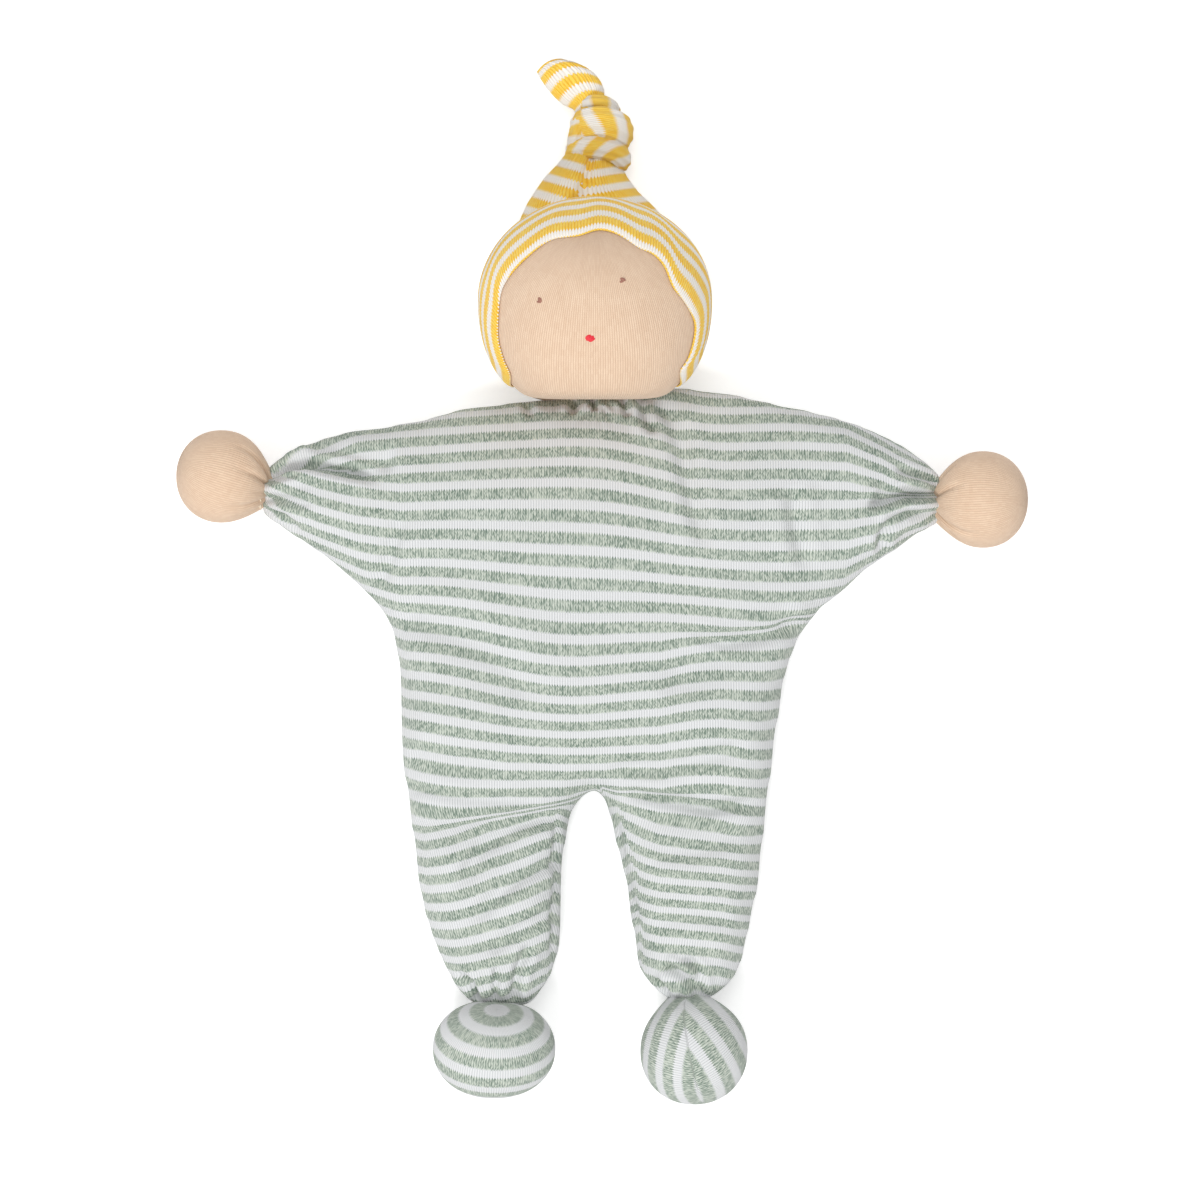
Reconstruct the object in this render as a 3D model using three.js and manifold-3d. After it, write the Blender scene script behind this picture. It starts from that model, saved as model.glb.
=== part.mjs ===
// A flat cuddle doll, lying on its back: a striped knit romper with wool batting in it, a wool
// ball head in skin tricot, tied hands and feet, and a striped hood with a knotted tail.
// Millimetres, +Z up out of the face, +Y from the feet to the hood's tip, +X to the doll's left.

import * as THREE from "three";
import { mergeVertices } from "three/addons/utils/BufferGeometryUtils.js";
import Module from "manifold-3d";

const wasm = await Module();
wasm.setup();

// Driving sizes

const CLOTH = 1.2; // knit with its loops and its seam turn-in
const SEAT_GAP = 0.3; // between a cover and what it holds
const SWING_GAP = 0.5; // between pieces that fold past each other
const REST_DEPTH = 0.5; // how deep the table flattens a stuffed piece
const SEAM_HEIGHT = 8.2; // the romper's side seams above the table
const SEAM_GAP = 0.3; // between the front and back panels
const CUT = 200; // reach of a cutting block past the doll

const TORSO = {
  length: 111,
  chestWidth: 106.4,
  armpitSpread: 6, // wider than the chest just below the sleeves
  hipTaper: 2.1, // narrower than the chest at the hip fold
  hipShift: -1.8,
  collarWidth: 38,
  collarShift: 8.5,
  bellyRise: 13.6,
  collarRise: 5.6,
  hipRound: 8.2,
};

const ARMS = {
  left: { side: 1, length: 38, rootWidth: 61, rise: 7, shoulderDrop: 3 },
  right: { side: -1, length: 33.6, rootWidth: 52.6, rise: 7.3, shoulderDrop: 6.7 },
};
const ARM_ROOT_RADIUS = 7;
const ARM_LOFT = 10; // how far the sleeve swells above its seams
const WRIST = { radius: 5.2, neckLength: 1.8, thread: 0.5, mouth: 3.4, setBack: 1.4, lift: 1.5 };
const WRIST_PLEAT_SHARE = 0.14;

const LEGS = {
  left: { side: 1, length: 48.5, rootWidth: 45, reach: 27.2, lean: -0.6 },
  right: { side: -1, length: 48.5, rootWidth: 46.2, reach: 29.2, lean: 1.8 },
};
const LEG_ROOT_RADIUS = 7.9;
const LEG_LOFT = 11.5;
const ANKLE = { radius: 6.8, neckLength: 2, thread: 0.6, mouth: 5, setBack: 1.8, lift: 3 };
const ANKLE_PLEAT_SHARE = 0.18;

const HANDS = {
  left: { halfLength: 11.8, halfWidth: 14.5, halfDepth: 12.8, rise: -1.1 },
  right: { halfLength: 12, halfWidth: 13.2, halfDepth: 12.8, rise: 4.6 },
};
const HAND_NECK = { end: 2.8, bore: 1.2, length: 0.5, pleatShare: 0.22 };

const FEET = {
  left: { halfWidth: 15.5, halfLength: 15.2, halfDepth: 15.2, shift: 0.8 },
  right: { halfWidth: 17.4, halfLength: 14.2, halfDepth: 15.2, shift: -1.2 },
};
const FOOT_NECK = { end: 4.3, bore: 2.3, length: 0.6, pleatShare: 0.2 };

const HEAD = { halfWidth: 31.8, radius: 28.3, fullness: 2.4 };
const NECK = { end: 5.9, bore: 4.2, length: 3, height: 11.5, stand: 2.5, pleatShare: 0.04 };
const NECK_TIE = { neckRadius: 5.3, thread: 0.5, along: 2.8 };
const FACE = { shiftX: -3.9, shiftY: 3.8, roll: THREE.MathUtils.degToRad(14.5) };
const EYES = { spacing: 24, halfWidth: 0.9, halfHeight: 1.1, thread: 0.55 };
const MOUTH = { drop: 14, halfWidth: 1.3, halfHeight: 1.1, thread: 0.75 };

const BRIM = { halfWidth: 28.5, halfHeight: 27.4, shift: 0.7, drop: 7, jaw: 24, neckRadius: 15 };
const TAIL = { rootWidth: 37, rootRadius: 7, length: 14, endWidth: 15.6, endRise: 6.6, shift: -2 };
const KNOT = { ring: 5.1, band: 4.4, spacing: 8.2, flatten: 0.82, bite: 2.6, shift: 3.2 };
const KNOT_EXIT = { x: -2.6, y: 9 }; // where the free end leaves the knot's middle
const KNOT_LEAN = THREE.MathUtils.degToRad(13);
const TIP = { length: 12, width: 14.4, thickness: 7.5, rootRadius: 4.6, endWidth: 12.6, room: 1.1 };
const TIP_ANGLE = THREE.MathUtils.degToRad(44); // the free end's lean to the doll's right

const TRUNK_SIDES = 24;
const HEAD_SIDES = 20;
const LIMB_SIDES = 14;
const JOINT_SIDES = 12;
const RING_SIDES = 14;
const THREAD_SIDES = 6;
const BAND_SIDES = 8;
const STITCH_SIDES = 10;

const X = new THREE.Vector3(1, 0, 0);
const Y = new THREE.Vector3(0, 1, 0);
const Z = new THREE.Vector3(0, 0, 1);

// Solids, and the cuts and joins on them

function solidOf(geometry) {
  const bare = geometry.index ? geometry.toNonIndexed() : geometry.clone();
  bare.deleteAttribute("normal");
  bare.deleteAttribute("uv");
  const merged = mergeVertices(bare);
  const mesh = new wasm.Mesh({
    numProp: 3,
    vertProperties: new Float32Array(merged.attributes.position.array),
    triVerts: new Uint32Array(merged.index.array),
  });
  return new wasm.Manifold(mesh);
}

function geometryOf(solid) {
  const made = solid.getMesh();
  const geometry = new THREE.BufferGeometry();
  geometry.setAttribute("position", new THREE.BufferAttribute(made.vertProperties, 3));
  geometry.setIndex(new THREE.BufferAttribute(made.triVerts, 1));
  const flat = geometry.toNonIndexed();
  flat.computeVertexNormals();
  return flat;
}

function ball(radius, centre = new THREE.Vector3()) {
  const geometry = new THREE.SphereGeometry(radius, JOINT_SIDES, JOINT_SIDES / 2);
  return solidOf(geometry.translate(centre.x, centre.y, centre.z));
}

// A round bar of one radius from one point to another.
function bar(radius, from, to) {
  const along = to.clone().sub(from);
  const geometry = new THREE.CylinderGeometry(radius, radius, along.length(), JOINT_SIDES);
  geometry.applyQuaternion(new THREE.Quaternion().setFromUnitVectors(Y, along.clone().normalize()));
  const middle = from.clone().add(to).divideScalar(2);
  return solidOf(geometry.translate(middle.x, middle.y, middle.z));
}

// Everything on the far side of a plane, as far as a cut ever needs to reach.
function beyond(point, normal) {
  const block = new THREE.BoxGeometry(2 * CUT, 2 * CUT, 2 * CUT);
  block.applyQuaternion(new THREE.Quaternion().setFromUnitVectors(Z, normal));
  const middle = point.clone().addScaledVector(normal, CUT);
  return solidOf(block.translate(middle.x, middle.y, middle.z));
}

// The flat that a soft piece gets where it lies on the table, which is depth below its group.
function pressFlat(solid, depth) {
  return solid.subtract(beyond(new THREE.Vector3(0, 0, -depth), Z.clone().negate()));
}

// A closed skin over rings of points, with a fan of faces over its first and last ring.
function loft(rings) {
  const sides = rings[0].length;
  const middles = [rings[0], rings.at(-1)].map((ring) =>
    ring.reduce((sum, point) => sum.add(point), new THREE.Vector3()).divideScalar(sides),
  );
  const points = [...rings.flat(), ...middles];
  const last = (rings.length - 1) * sides;
  const faces = [];
  for (let i = 0; i < sides; i++) {
    const next = (i + 1) % sides;
    faces.push(points.length - 2, next, i, points.length - 1, last + i, last + next);
    for (let row = 0; row < last; row += sides) {
      faces.push(row + i, row + next, row + sides + next);
      faces.push(row + i, row + sides + next, row + sides + i);
    }
  }
  const geometry = new THREE.BufferGeometry().setFromPoints(points);
  geometry.setIndex(faces);
  const made = solidOf(geometry);
  if (made.volume() > 0) return made;
  geometry.setIndex(faces.reverse());
  return solidOf(geometry);
}

// One ring round a stuffed tube: higher above its seams than below them, squarer than an ellipse
// where its power is under 1, and drawn in at every second point where the cloth is gathered.
const STUFFED_POWER = 0.86;
function tubeRing(section, sides) {
  const { centre, across, half, up, down, pleat = 0, power = STUFFED_POWER } = section;
  const full = (share) => Math.sign(share) * Math.abs(share) ** power;
  return Array.from({ length: sides }, (_, i) => {
    const angle = (2 * Math.PI * i) / sides;
    const drawn = i % 2 ? 1 - pleat : 1;
    const height = Math.sin(angle) > 0 ? up : down;
    return centre
      .clone()
      .addScaledVector(across, drawn * half * full(Math.cos(angle)))
      .addScaledVector(Z, drawn * height * full(Math.sin(angle)));
  });
}

// A stuffed tube with every section drawn in by inset. slide is the share of the inset by which a
// section moves along the tube, where the tube's end closes, and thin its share of the height.
function tube(sections, inset, sides, along) {
  const drawnIn = sections.map((section) => {
    const { centre, half, up, down, slide = 0, thin = 1 } = section;
    return {
      ...section,
      centre: centre.clone().addScaledVector(along, slide * inset),
      half: half - inset,
      up: up - thin * inset,
      down: down - thin * inset,
    };
  });
  return loft(drawnIn.map((section) => tubeRing(section, sides)));
}

// A tube's closed end is a quarter round of the tube's own half height, at these angles.
const ROUND_STEPS = [9, 36, 62, 90].map((degrees) => THREE.MathUtils.degToRad(degrees));
const CORNER_SHARE = 0.5; // of that round, taken off the width where a limb folds
const GATHER_SHARE = -0.7; // of the inset, by which a gathered end moves back
const roundEnd = (angle) => ({ slide: Math.cos(angle), thin: Math.sin(angle) });

// A wool ball in its skin: an ellipsoid, squarer in plan by its fullness, whose pole faces the
// neck that it hangs on, with the skin pleated there. grow is how far it stands outside its size.
// With a neck, the same skin runs on to a round end at the origin.
const POLAR_STEPS = [18, 32, 48, 66, 86, 106, 127, 148, 167];
const NECK_STEPS = [20, 55, 90, 125];
const PLEAT_FADE = THREE.MathUtils.degToRad(58);
function stuffedBall({ centre, halves, pole, pleat = 0, fullness = 2 }, grow, sides, neck) {
  const toPole = new THREE.Quaternion().setFromUnitVectors(Z, pole);
  const ringOf = (degrees, place) =>
    Array.from({ length: sides }, (_, i) => {
      const polar = THREE.MathUtils.degToRad(degrees);
      const turn = (2 * Math.PI * i) / sides;
      const way = new THREE.Vector3().setFromSphericalCoords(1, polar, turn);
      return place(way.set(way.x, way.z, way.y).applyQuaternion(toPole), polar, i);
    });
  const onBall = (way, polar, i) => {
    const drawn = pleat * Math.max(0, 1 - polar / PLEAT_FADE);
    const plan = Math.hypot(way.x, way.y);
    const corner = Math.abs(way.x / plan) ** fullness + Math.abs(way.y / plan) ** fullness;
    const swell = 1 + plan ** 2 * (corner ** (-1 / fullness) - 1);
    const point = way.clone().multiply(halves);
    point.multiplyScalar(swell * (i % 2 ? 1 - drawn : 1));
    return point.addScaledVector(way, grow).add(centre);
  };
  const rings = POLAR_STEPS.map((degrees) => ringOf(degrees, onBall));
  if (!neck) return loft(rings);
  const end = NECK_STEPS.map((degrees) => ringOf(degrees, (way) => way.multiplyScalar(neck.end)));
  return loft([...end, ...rings]);
}

// Materials

const MATERIALS = {
  sageKnit: new THREE.MeshStandardMaterial({ color: 0xcbd2c8, roughness: 0.95 }),
  sageKnitBack: new THREE.MeshStandardMaterial({ color: 0xc2cabf, roughness: 0.95 }),
  yellowKnit: new THREE.MeshStandardMaterial({ color: 0xeccb74, roughness: 0.95 }),
  skinTricot: new THREE.MeshStandardMaterial({ color: 0xe8cdb2, roughness: 0.9 }),
  wool: new THREE.MeshStandardMaterial({ color: 0xf1ebdc, roughness: 1 }),
  creamThread: new THREE.MeshStandardMaterial({ color: 0xe9dcc8, roughness: 0.8 }),
  brownThread: new THREE.MeshStandardMaterial({ color: 0xa8735c, roughness: 0.8 }),
  redThread: new THREE.MeshStandardMaterial({ color: 0xd8263c, roughness: 0.7 }),
};

function addNode(group, name, solid, material) {
  const mesh = new THREE.Mesh(geometryOf(solid), MATERIALS[material]);
  mesh.name = name;
  group.add(mesh);
}

// A cover cut from two panels that meet at the seams, in the seam plane z = 0 of its group.
function addPanels(group, name, cover) {
  const front = cover.subtract(beyond(new THREE.Vector3(0, 0, SEAM_GAP / 2), Z.clone().negate()));
  const back = cover.subtract(beyond(new THREE.Vector3(0, 0, -SEAM_GAP / 2), Z));
  addNode(group, name + "_front", front, "sageKnit");
  addNode(group, name + "_back", back, "sageKnitBack");
}

// A thread wound round a gathered neck.
function threadRing(neckRadius, thread, centre, axis) {
  const radius = neckRadius + SEAT_GAP + thread;
  const geometry = new THREE.TorusGeometry(radius, thread, THREAD_SIDES, RING_SIDES);
  geometry.applyQuaternion(new THREE.Quaternion().setFromUnitVectors(Z, axis));
  return solidOf(geometry.translate(centre.x, centre.y, centre.z));
}

// Hands, feet and head: a skin with its gathered neck, open at the end, and the wool in it.
// The group's origin is the middle of the neck's round end, on which the piece swings.
function bobble(form, neck, sides) {
  const boreEnd = form.pole.clone().multiplyScalar(2 * neck.end);
  const skin = stuffedBall(form, 0, sides, neck)
    .subtract(stuffedBall(form, -CLOTH, sides))
    .subtract(bar(neck.bore, boreEnd, form.centre));
  const core = stuffedBall(form, -CLOTH - SEAT_GAP, sides);
  return { skin, core };
}

const doll = new THREE.Group();

function groupAt(parent, x, y, z) {
  const group = new THREE.Group();
  group.position.set(x, y, z);
  parent.add(group);
  return group;
}

// Torso: the romper's trunk, from the hip fold at y = 0 to the collar, in its seam plane

const romper = groupAt(doll, 0, 0, SEAM_HEIGHT);
const neckPivot = new THREE.Vector3(0, TORSO.length + NECK.stand, NECK.height - SEAM_HEIGHT);
const bodyDown = SEAM_HEIGHT + REST_DEPTH;
const TRUNK_POWER = 0.55; // a flat bag with a round edge, squarer than a limb
const FOLD_POWER = 0.7; // the same where it narrows to the hip fold and the collar

const TRUNK_SHARES = [
  { y: 0.2, spread: 0.3, rise: 0.7, shift: 0.9 },
  { y: 0.36, spread: 1, rise: 0.95, shift: 0 },
  { y: 0.415, spread: 0.1, rise: 1, shift: 0 },
  { y: 0.66, spread: 0, rise: 0.9, shift: 0 },
  { y: 0.84, spread: 0, rise: 0.55, shift: 0 },
];
const SHOULDER_SHARES = [
  { y: 0.955, width: 0.95, rise: 0.4, down: 1, shift: 0.2, pleat: 0 },
  { y: 0.98, width: 0.8, rise: 0.3, down: 0.96, shift: 0.75, pleat: 0.02 },
  { y: 1, width: 0.56, rise: 0.16, down: 0.84, shift: 1.2, pleat: 0.05 },
  { y: 1.018, width: 0, rise: 0, down: 0.62, shift: 1.3, pleat: 0.08 },
];

function torsoSections() {
  const ends = ROUND_STEPS.map((angle) => ({
    x: TORSO.hipShift,
    y: TORSO.hipRound * (1 - Math.cos(angle)),
    width: TORSO.chestWidth - TORSO.hipTaper - 2 * TORSO.hipRound * (1 - Math.sin(angle)),
    up: TORSO.hipRound * Math.sin(angle),
    down: bodyDown * Math.sin(angle),
    power: FOLD_POWER,
    ...roundEnd(angle),
  }));
  const trunk = TRUNK_SHARES.map((share) => ({
    x: share.shift * TORSO.hipShift,
    y: share.y * TORSO.length,
    width: TORSO.chestWidth + share.spread * TORSO.armpitSpread,
    up: TORSO.hipRound + share.rise * (TORSO.bellyRise - TORSO.hipRound),
    down: bodyDown,
    power: TRUNK_POWER,
  }));
  const shoulders = SHOULDER_SHARES.map((share) => ({
    x: share.shift * TORSO.collarShift,
    y: share.y * TORSO.length,
    width: TORSO.collarWidth + share.width * (TORSO.chestWidth - TORSO.collarWidth),
    up: TORSO.collarRise + share.rise * (TORSO.bellyRise - TORSO.collarRise),
    down: share.down * bodyDown,
    pleat: share.pleat,
    power: FOLD_POWER,
    slide: -1,
  }));
  return [...ends, ...trunk, ...shoulders].map(({ x, y, width, ...rest }) => ({
    centre: new THREE.Vector3(x, y, 0),
    across: X,
    half: width / 2,
    ...rest,
  }));
}

function addTorso() {
  const sections = torsoSections();
  const collar = ball(NECK.end + SWING_GAP, neckPivot);
  const cover = tube(sections, 0, TRUNK_SIDES, Y)
    .subtract(tube(sections, CLOTH, TRUNK_SIDES, Y))
    .subtract(collar);
  addPanels(romper, "torso", pressFlat(cover, SEAM_HEIGHT));
  const batting = tube(sections, CLOTH + SEAT_GAP, TRUNK_SIDES, Y).subtract(
    ball(NECK.end + SWING_GAP + CLOTH, neckPivot),
  );
  addNode(romper, "torso_batting", batting, "wool");
}

// Arms: wide sleeves cut in one with the trunk, which fold at the trunk's side and narrow to
// the wrist, where they are drawn in round the hand's neck

const ARM_SHARES = [
  { along: 0.12, width: 0.91, loft: 0.9, rise: 0.25 },
  { along: 0.28, width: 0.79, loft: 1, rise: 0.56 },
  { along: 0.45, width: 0.67, loft: 1, rise: 0.78 },
  { along: 0.6, width: 0.56, loft: 0.9, rise: 0.92 },
  { along: 0.74, width: 0.46, loft: 0.72, rise: 0.98 },
  { along: 0.85, width: 0.4, loft: 0.4, rise: 1 },
  { along: 0.935, width: 0.32, loft: 0, rise: 1, slide: GATHER_SHARE },
];

function armSections(arm) {
  const out = (distance, rise) =>
    new THREE.Vector3(arm.side * distance, rise * arm.rise, rise ** 3 * WRIST.lift);
  const ends = ROUND_STEPS.map((angle) => ({
    centre: out(-ARM_ROOT_RADIUS * Math.cos(angle), 0),
    half: arm.rootWidth / 2 - ARM_ROOT_RADIUS * (1 - Math.sin(angle)) * CORNER_SHARE,
    up: ARM_ROOT_RADIUS * Math.sin(angle),
    down: ARM_ROOT_RADIUS * Math.sin(angle),
    ...roundEnd(angle),
  }));
  const sleeve = ARM_SHARES.map((share) => ({
    centre: out(share.along * arm.length, share.rise),
    half: (share.width * arm.rootWidth) / 2,
    up: ARM_ROOT_RADIUS + share.loft * (ARM_LOFT - ARM_ROOT_RADIUS),
    down: ARM_ROOT_RADIUS + share.loft * (bodyDown - ARM_ROOT_RADIUS),
    pleat: WRIST_PLEAT_SHARE * share.along ** 4,
    slide: share.slide,
  }));
  const round = { half: WRIST.radius, up: WRIST.radius, down: WRIST.radius, power: 1 };
  const neck = [
    { centre: out(arm.length - WRIST.neckLength, 1), ...round, slide: GATHER_SHARE },
    { centre: out(arm.length, 1), ...round, slide: -1 },
  ];
  return [...ends, ...sleeve, ...neck].map((section) => ({ across: Y, ...section }));
}

function addArm(name, arm, hand) {
  const hingeX = arm.side * (TORSO.chestWidth / 2 + SWING_GAP + ARM_ROOT_RADIUS);
  const rootY = TORSO.length - arm.shoulderDrop - arm.rootWidth / 2;
  const group = groupAt(romper, hingeX, rootY, 0);
  const along = X.clone().multiplyScalar(arm.side);
  const sections = armSections(arm);
  const wrist = new THREE.Vector3(arm.side * arm.length, arm.rise, WRIST.lift);
  const pivot = wrist.clone().addScaledVector(along, WRIST.setBack);
  const mouthEnd = pivot.clone().addScaledVector(along, -WRIST.setBack - 3 * WRIST.neckLength);
  const mouth = bar(WRIST.mouth, pivot, mouthEnd);
  const cover = tube(sections, 0, LIMB_SIDES, along)
    .subtract(tube(sections, CLOTH, LIMB_SIDES, along))
    .subtract(mouth);
  addPanels(group, name + "_arm", pressFlat(cover, SEAM_HEIGHT));
  const clear = ball(HAND_NECK.end + SWING_GAP + CLOTH, pivot);
  const stuffed = sections.slice(0, -2);
  const batting = tube(stuffed, CLOTH + SEAT_GAP, LIMB_SIDES, along).subtract(clear);
  addNode(group, name + "_arm_batting", batting, "wool");
  const tieAt = wrist.clone().addScaledVector(along, -WRIST.neckLength / 2);
  const tie = threadRing(WRIST.radius, WRIST.thread, tieAt, along);
  addNode(group, name + "_wrist_tie", tie, "creamThread");

  const palm = groupAt(group, pivot.x, pivot.y, pivot.z);
  const reach = arm.side * (HAND_NECK.length + hand.halfLength);
  const floor = SEAM_HEIGHT + WRIST.lift;
  const lift = hand.halfDepth - REST_DEPTH - floor;
  const centre = new THREE.Vector3(reach, hand.rise, lift);
  const halves = new THREE.Vector3(hand.halfLength, hand.halfWidth, hand.halfDepth);
  const pole = centre.clone().negate().normalize();
  const form = { centre, halves, pole, pleat: HAND_NECK.pleatShare };
  const { skin, core } = bobble(form, HAND_NECK, LIMB_SIDES);
  addNode(palm, name + "_hand_skin", pressFlat(skin, floor), "skinTricot");
  addNode(palm, name + "_hand_core", core, "wool");
}

// Legs: tubes that fold at the hip and are gathered round the foot's neck

const LEG_SHARES = [
  { along: 0.14, width: 0.95, loft: 0.9, lean: 0 },
  { along: 0.34, width: 0.9, loft: 1, lean: 0.1 },
  { along: 0.54, width: 0.85, loft: 0.95, lean: 0.3 },
  { along: 0.7, width: 0.78, loft: 0.85, lean: 0.6 },
  { along: 0.84, width: 0.69, loft: 0.7, lean: 0.85 },
  { along: 0.95, width: 0.46, loft: 0.3, lean: 1, slide: GATHER_SHARE },
];

function legSections(leg) {
  const down = (distance, lean) =>
    new THREE.Vector3(-leg.side * lean * leg.lean, -distance, lean ** 3 * ANKLE.lift);
  const ends = ROUND_STEPS.map((angle) => ({
    centre: down(-LEG_ROOT_RADIUS * Math.cos(angle), 0),
    half: leg.rootWidth / 2 - LEG_ROOT_RADIUS * (1 - Math.sin(angle)) * CORNER_SHARE,
    up: LEG_ROOT_RADIUS * Math.sin(angle),
    down: LEG_ROOT_RADIUS * Math.sin(angle),
    ...roundEnd(angle),
  }));
  const calf = LEG_SHARES.map((share) => ({
    centre: down(share.along * leg.length, share.lean),
    half: (share.width * leg.rootWidth) / 2,
    up: LEG_ROOT_RADIUS + share.loft * (LEG_LOFT - LEG_ROOT_RADIUS),
    down: LEG_ROOT_RADIUS + share.loft * (bodyDown - LEG_ROOT_RADIUS),
    pleat: ANKLE_PLEAT_SHARE * share.along ** 5,
    slide: share.slide,
  }));
  const round = { half: ANKLE.radius, up: ANKLE.radius, down: ANKLE.radius, power: 1 };
  const neck = [
    { centre: down(leg.length - ANKLE.neckLength, 1), ...round, slide: GATHER_SHARE },
    { centre: down(leg.length, 1), ...round, slide: -1 },
  ];
  return [...ends, ...calf, ...neck].map((section) => ({ across: X, ...section }));
}

function addLeg(name, leg, foot) {
  const hingeY = -(SWING_GAP + LEG_ROOT_RADIUS);
  const group = groupAt(romper, leg.side * leg.reach, hingeY, 0);
  const along = Y.clone().negate();
  const sections = legSections(leg);
  const ankle = new THREE.Vector3(-leg.side * leg.lean, -leg.length, ANKLE.lift);
  const pivot = ankle.clone().addScaledVector(along, ANKLE.setBack);
  const mouthEnd = ankle.clone().addScaledVector(along, -2 * ANKLE.neckLength);
  const cover = tube(sections, 0, LIMB_SIDES, along)
    .subtract(tube(sections, CLOTH, LIMB_SIDES, along))
    .subtract(bar(ANKLE.mouth, pivot, mouthEnd));
  addPanels(group, name + "_leg", pressFlat(cover, SEAM_HEIGHT));
  const clear = ball(FOOT_NECK.end + SWING_GAP + CLOTH, pivot);
  const stuffed = sections.slice(0, -2);
  const batting = tube(stuffed, CLOTH + SEAT_GAP, LIMB_SIDES, along).subtract(clear);
  addNode(group, name + "_leg_batting", batting, "wool");
  const tieAt = ankle.clone().addScaledVector(along, -ANKLE.neckLength / 2);
  const tie = threadRing(ANKLE.radius, ANKLE.thread, tieAt, along);
  addNode(group, name + "_ankle_tie", tie, "creamThread");

  const sole = groupAt(group, pivot.x, pivot.y, pivot.z);
  const floor = SEAM_HEIGHT + ANKLE.lift;
  const lift = foot.halfDepth - REST_DEPTH - floor;
  const centre = new THREE.Vector3(foot.shift, -FOOT_NECK.length - foot.halfLength, lift);
  const halves = new THREE.Vector3(foot.halfWidth, foot.halfLength, foot.halfDepth);
  const pole = centre.clone().negate().normalize();
  const form = { centre, halves, pole, pleat: FOOT_NECK.pleatShare };
  const { skin, core } = bobble(form, FOOT_NECK, LIMB_SIDES);
  addNode(sole, name + "_foot_cover", pressFlat(skin, floor), "sageKnit");
  addNode(sole, name + "_foot_core", core, "wool");
}

// Head: the wool ball, its tricot skin, the thread round its neck, and three stitches for a face

function addHead() {
  const hood = CLOTH + SEAT_GAP;
  const lift = HEAD.radius + hood - REST_DEPTH - NECK.height;
  const reach = Math.sqrt((HEAD.radius + NECK.length) ** 2 - lift ** 2);
  const centre = new THREE.Vector3(0, reach, lift);
  const halves = new THREE.Vector3(HEAD.halfWidth, HEAD.radius, HEAD.radius);
  const group = groupAt(romper, neckPivot.x, neckPivot.y, neckPivot.z);
  const away = centre.clone().normalize();
  const pole = away.clone().negate();
  const form = { centre, halves, pole, pleat: NECK.pleatShare, fullness: HEAD.fullness };
  const { skin, core } = bobble(form, NECK, HEAD_SIDES);
  addNode(group, "head_skin", skin, "skinTricot");
  addNode(group, "head_core", core, "wool");
  const tieAt = away.clone().multiplyScalar(NECK_TIE.along);
  addNode(group, "neck_tie", threadRing(NECK_TIE.neckRadius, NECK_TIE.thread, tieAt, away), "creamThread");

  // A stitch lies on the skin at a place of the face, which is rolled about the middle of it.
  const stitch = (name, x, y, size, material) => {
    const place = new THREE.Vector2(x, y).rotateAround(new THREE.Vector2(), FACE.roll);
    place.add(new THREE.Vector2(FACE.shiftX, FACE.shiftY));
    const share = 1 - (place.x / HEAD.halfWidth) ** 2 - (place.y / HEAD.radius) ** 2;
    const surface = new THREE.Vector3(place.x, place.y, HEAD.radius * Math.sqrt(share));
    const outward = surface.clone().divide(halves).divide(halves).normalize();
    const geometry = new THREE.SphereGeometry(1, STITCH_SIDES, STITCH_SIDES / 2);
    geometry.scale(size.halfWidth, size.halfHeight, size.thread);
    geometry.applyQuaternion(new THREE.Quaternion().setFromUnitVectors(Z, outward));
    const seat = surface.addScaledVector(outward, size.thread + SEAT_GAP / 2).add(centre);
    addNode(group, name, solidOf(geometry.translate(seat.x, seat.y, seat.z)), material);
  };
  stitch("left_eye", EYES.spacing / 2, 0, EYES, "brownThread");
  stitch("right_eye", -EYES.spacing / 2, 0, EYES, "brownThread");
  stitch("mouth", 0, -MOUTH.drop, MOUTH, "redThread");
  addHood(group, { ...form, pleat: 0 });
}

// Hood: a bowl of striped knit with an arched opening for the face, notched at the neck. Its
// tail is a flattened cone that lies on the table, with a knot in it and a free end past it.

function faceOpening(centre) {
  const arch = new THREE.Shape();
  arch.absellipse(BRIM.shift, -BRIM.drop, BRIM.halfWidth, BRIM.halfHeight, 0, Math.PI);
  arch.lineTo(-BRIM.jaw, -2 * HEAD.radius);
  arch.lineTo(BRIM.jaw, -2 * HEAD.radius);
  const options = { depth: 2 * HEAD.radius, bevelEnabled: false, curveSegments: JOINT_SIDES };
  const prism = new THREE.ExtrudeGeometry(arch, options);
  return solidOf(prism.translate(centre.x, centre.y, centre.z));
}

function addHood(group, form) {
  const { centre, pole } = form;
  const floor = group.position.z + SEAM_HEIGHT;
  const neckEnd = pole.clone().multiplyScalar(HEAD.radius / 2);
  const bowl = stuffedBall(form, SEAT_GAP + CLOTH, HEAD_SIDES)
    .subtract(stuffedBall(form, SEAT_GAP, HEAD_SIDES))
    .subtract(faceOpening(centre))
    .subtract(bar(BRIM.neckRadius, neckEnd, centre));
  addNode(group, "hood", pressFlat(bowl, floor), "yellowKnit");

  const tailHeight = TAIL.rootRadius - REST_DEPTH;
  const fromHead = HEAD.radius + SEAT_GAP + CLOTH + SWING_GAP + TAIL.rootRadius;
  const sink = centre.z + floor - tailHeight;
  const tailY = centre.y + Math.sqrt(fromHead ** 2 - sink ** 2);
  const tail = groupAt(group, TAIL.shift, tailY, tailHeight - floor);
  addTail(tail, tailHeight);
}

const TAIL_SHARES = [0.35, 0.7, 1];
const TAIL_PLEAT_SHARES = { root: 0.03, end: 0.1 };

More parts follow.
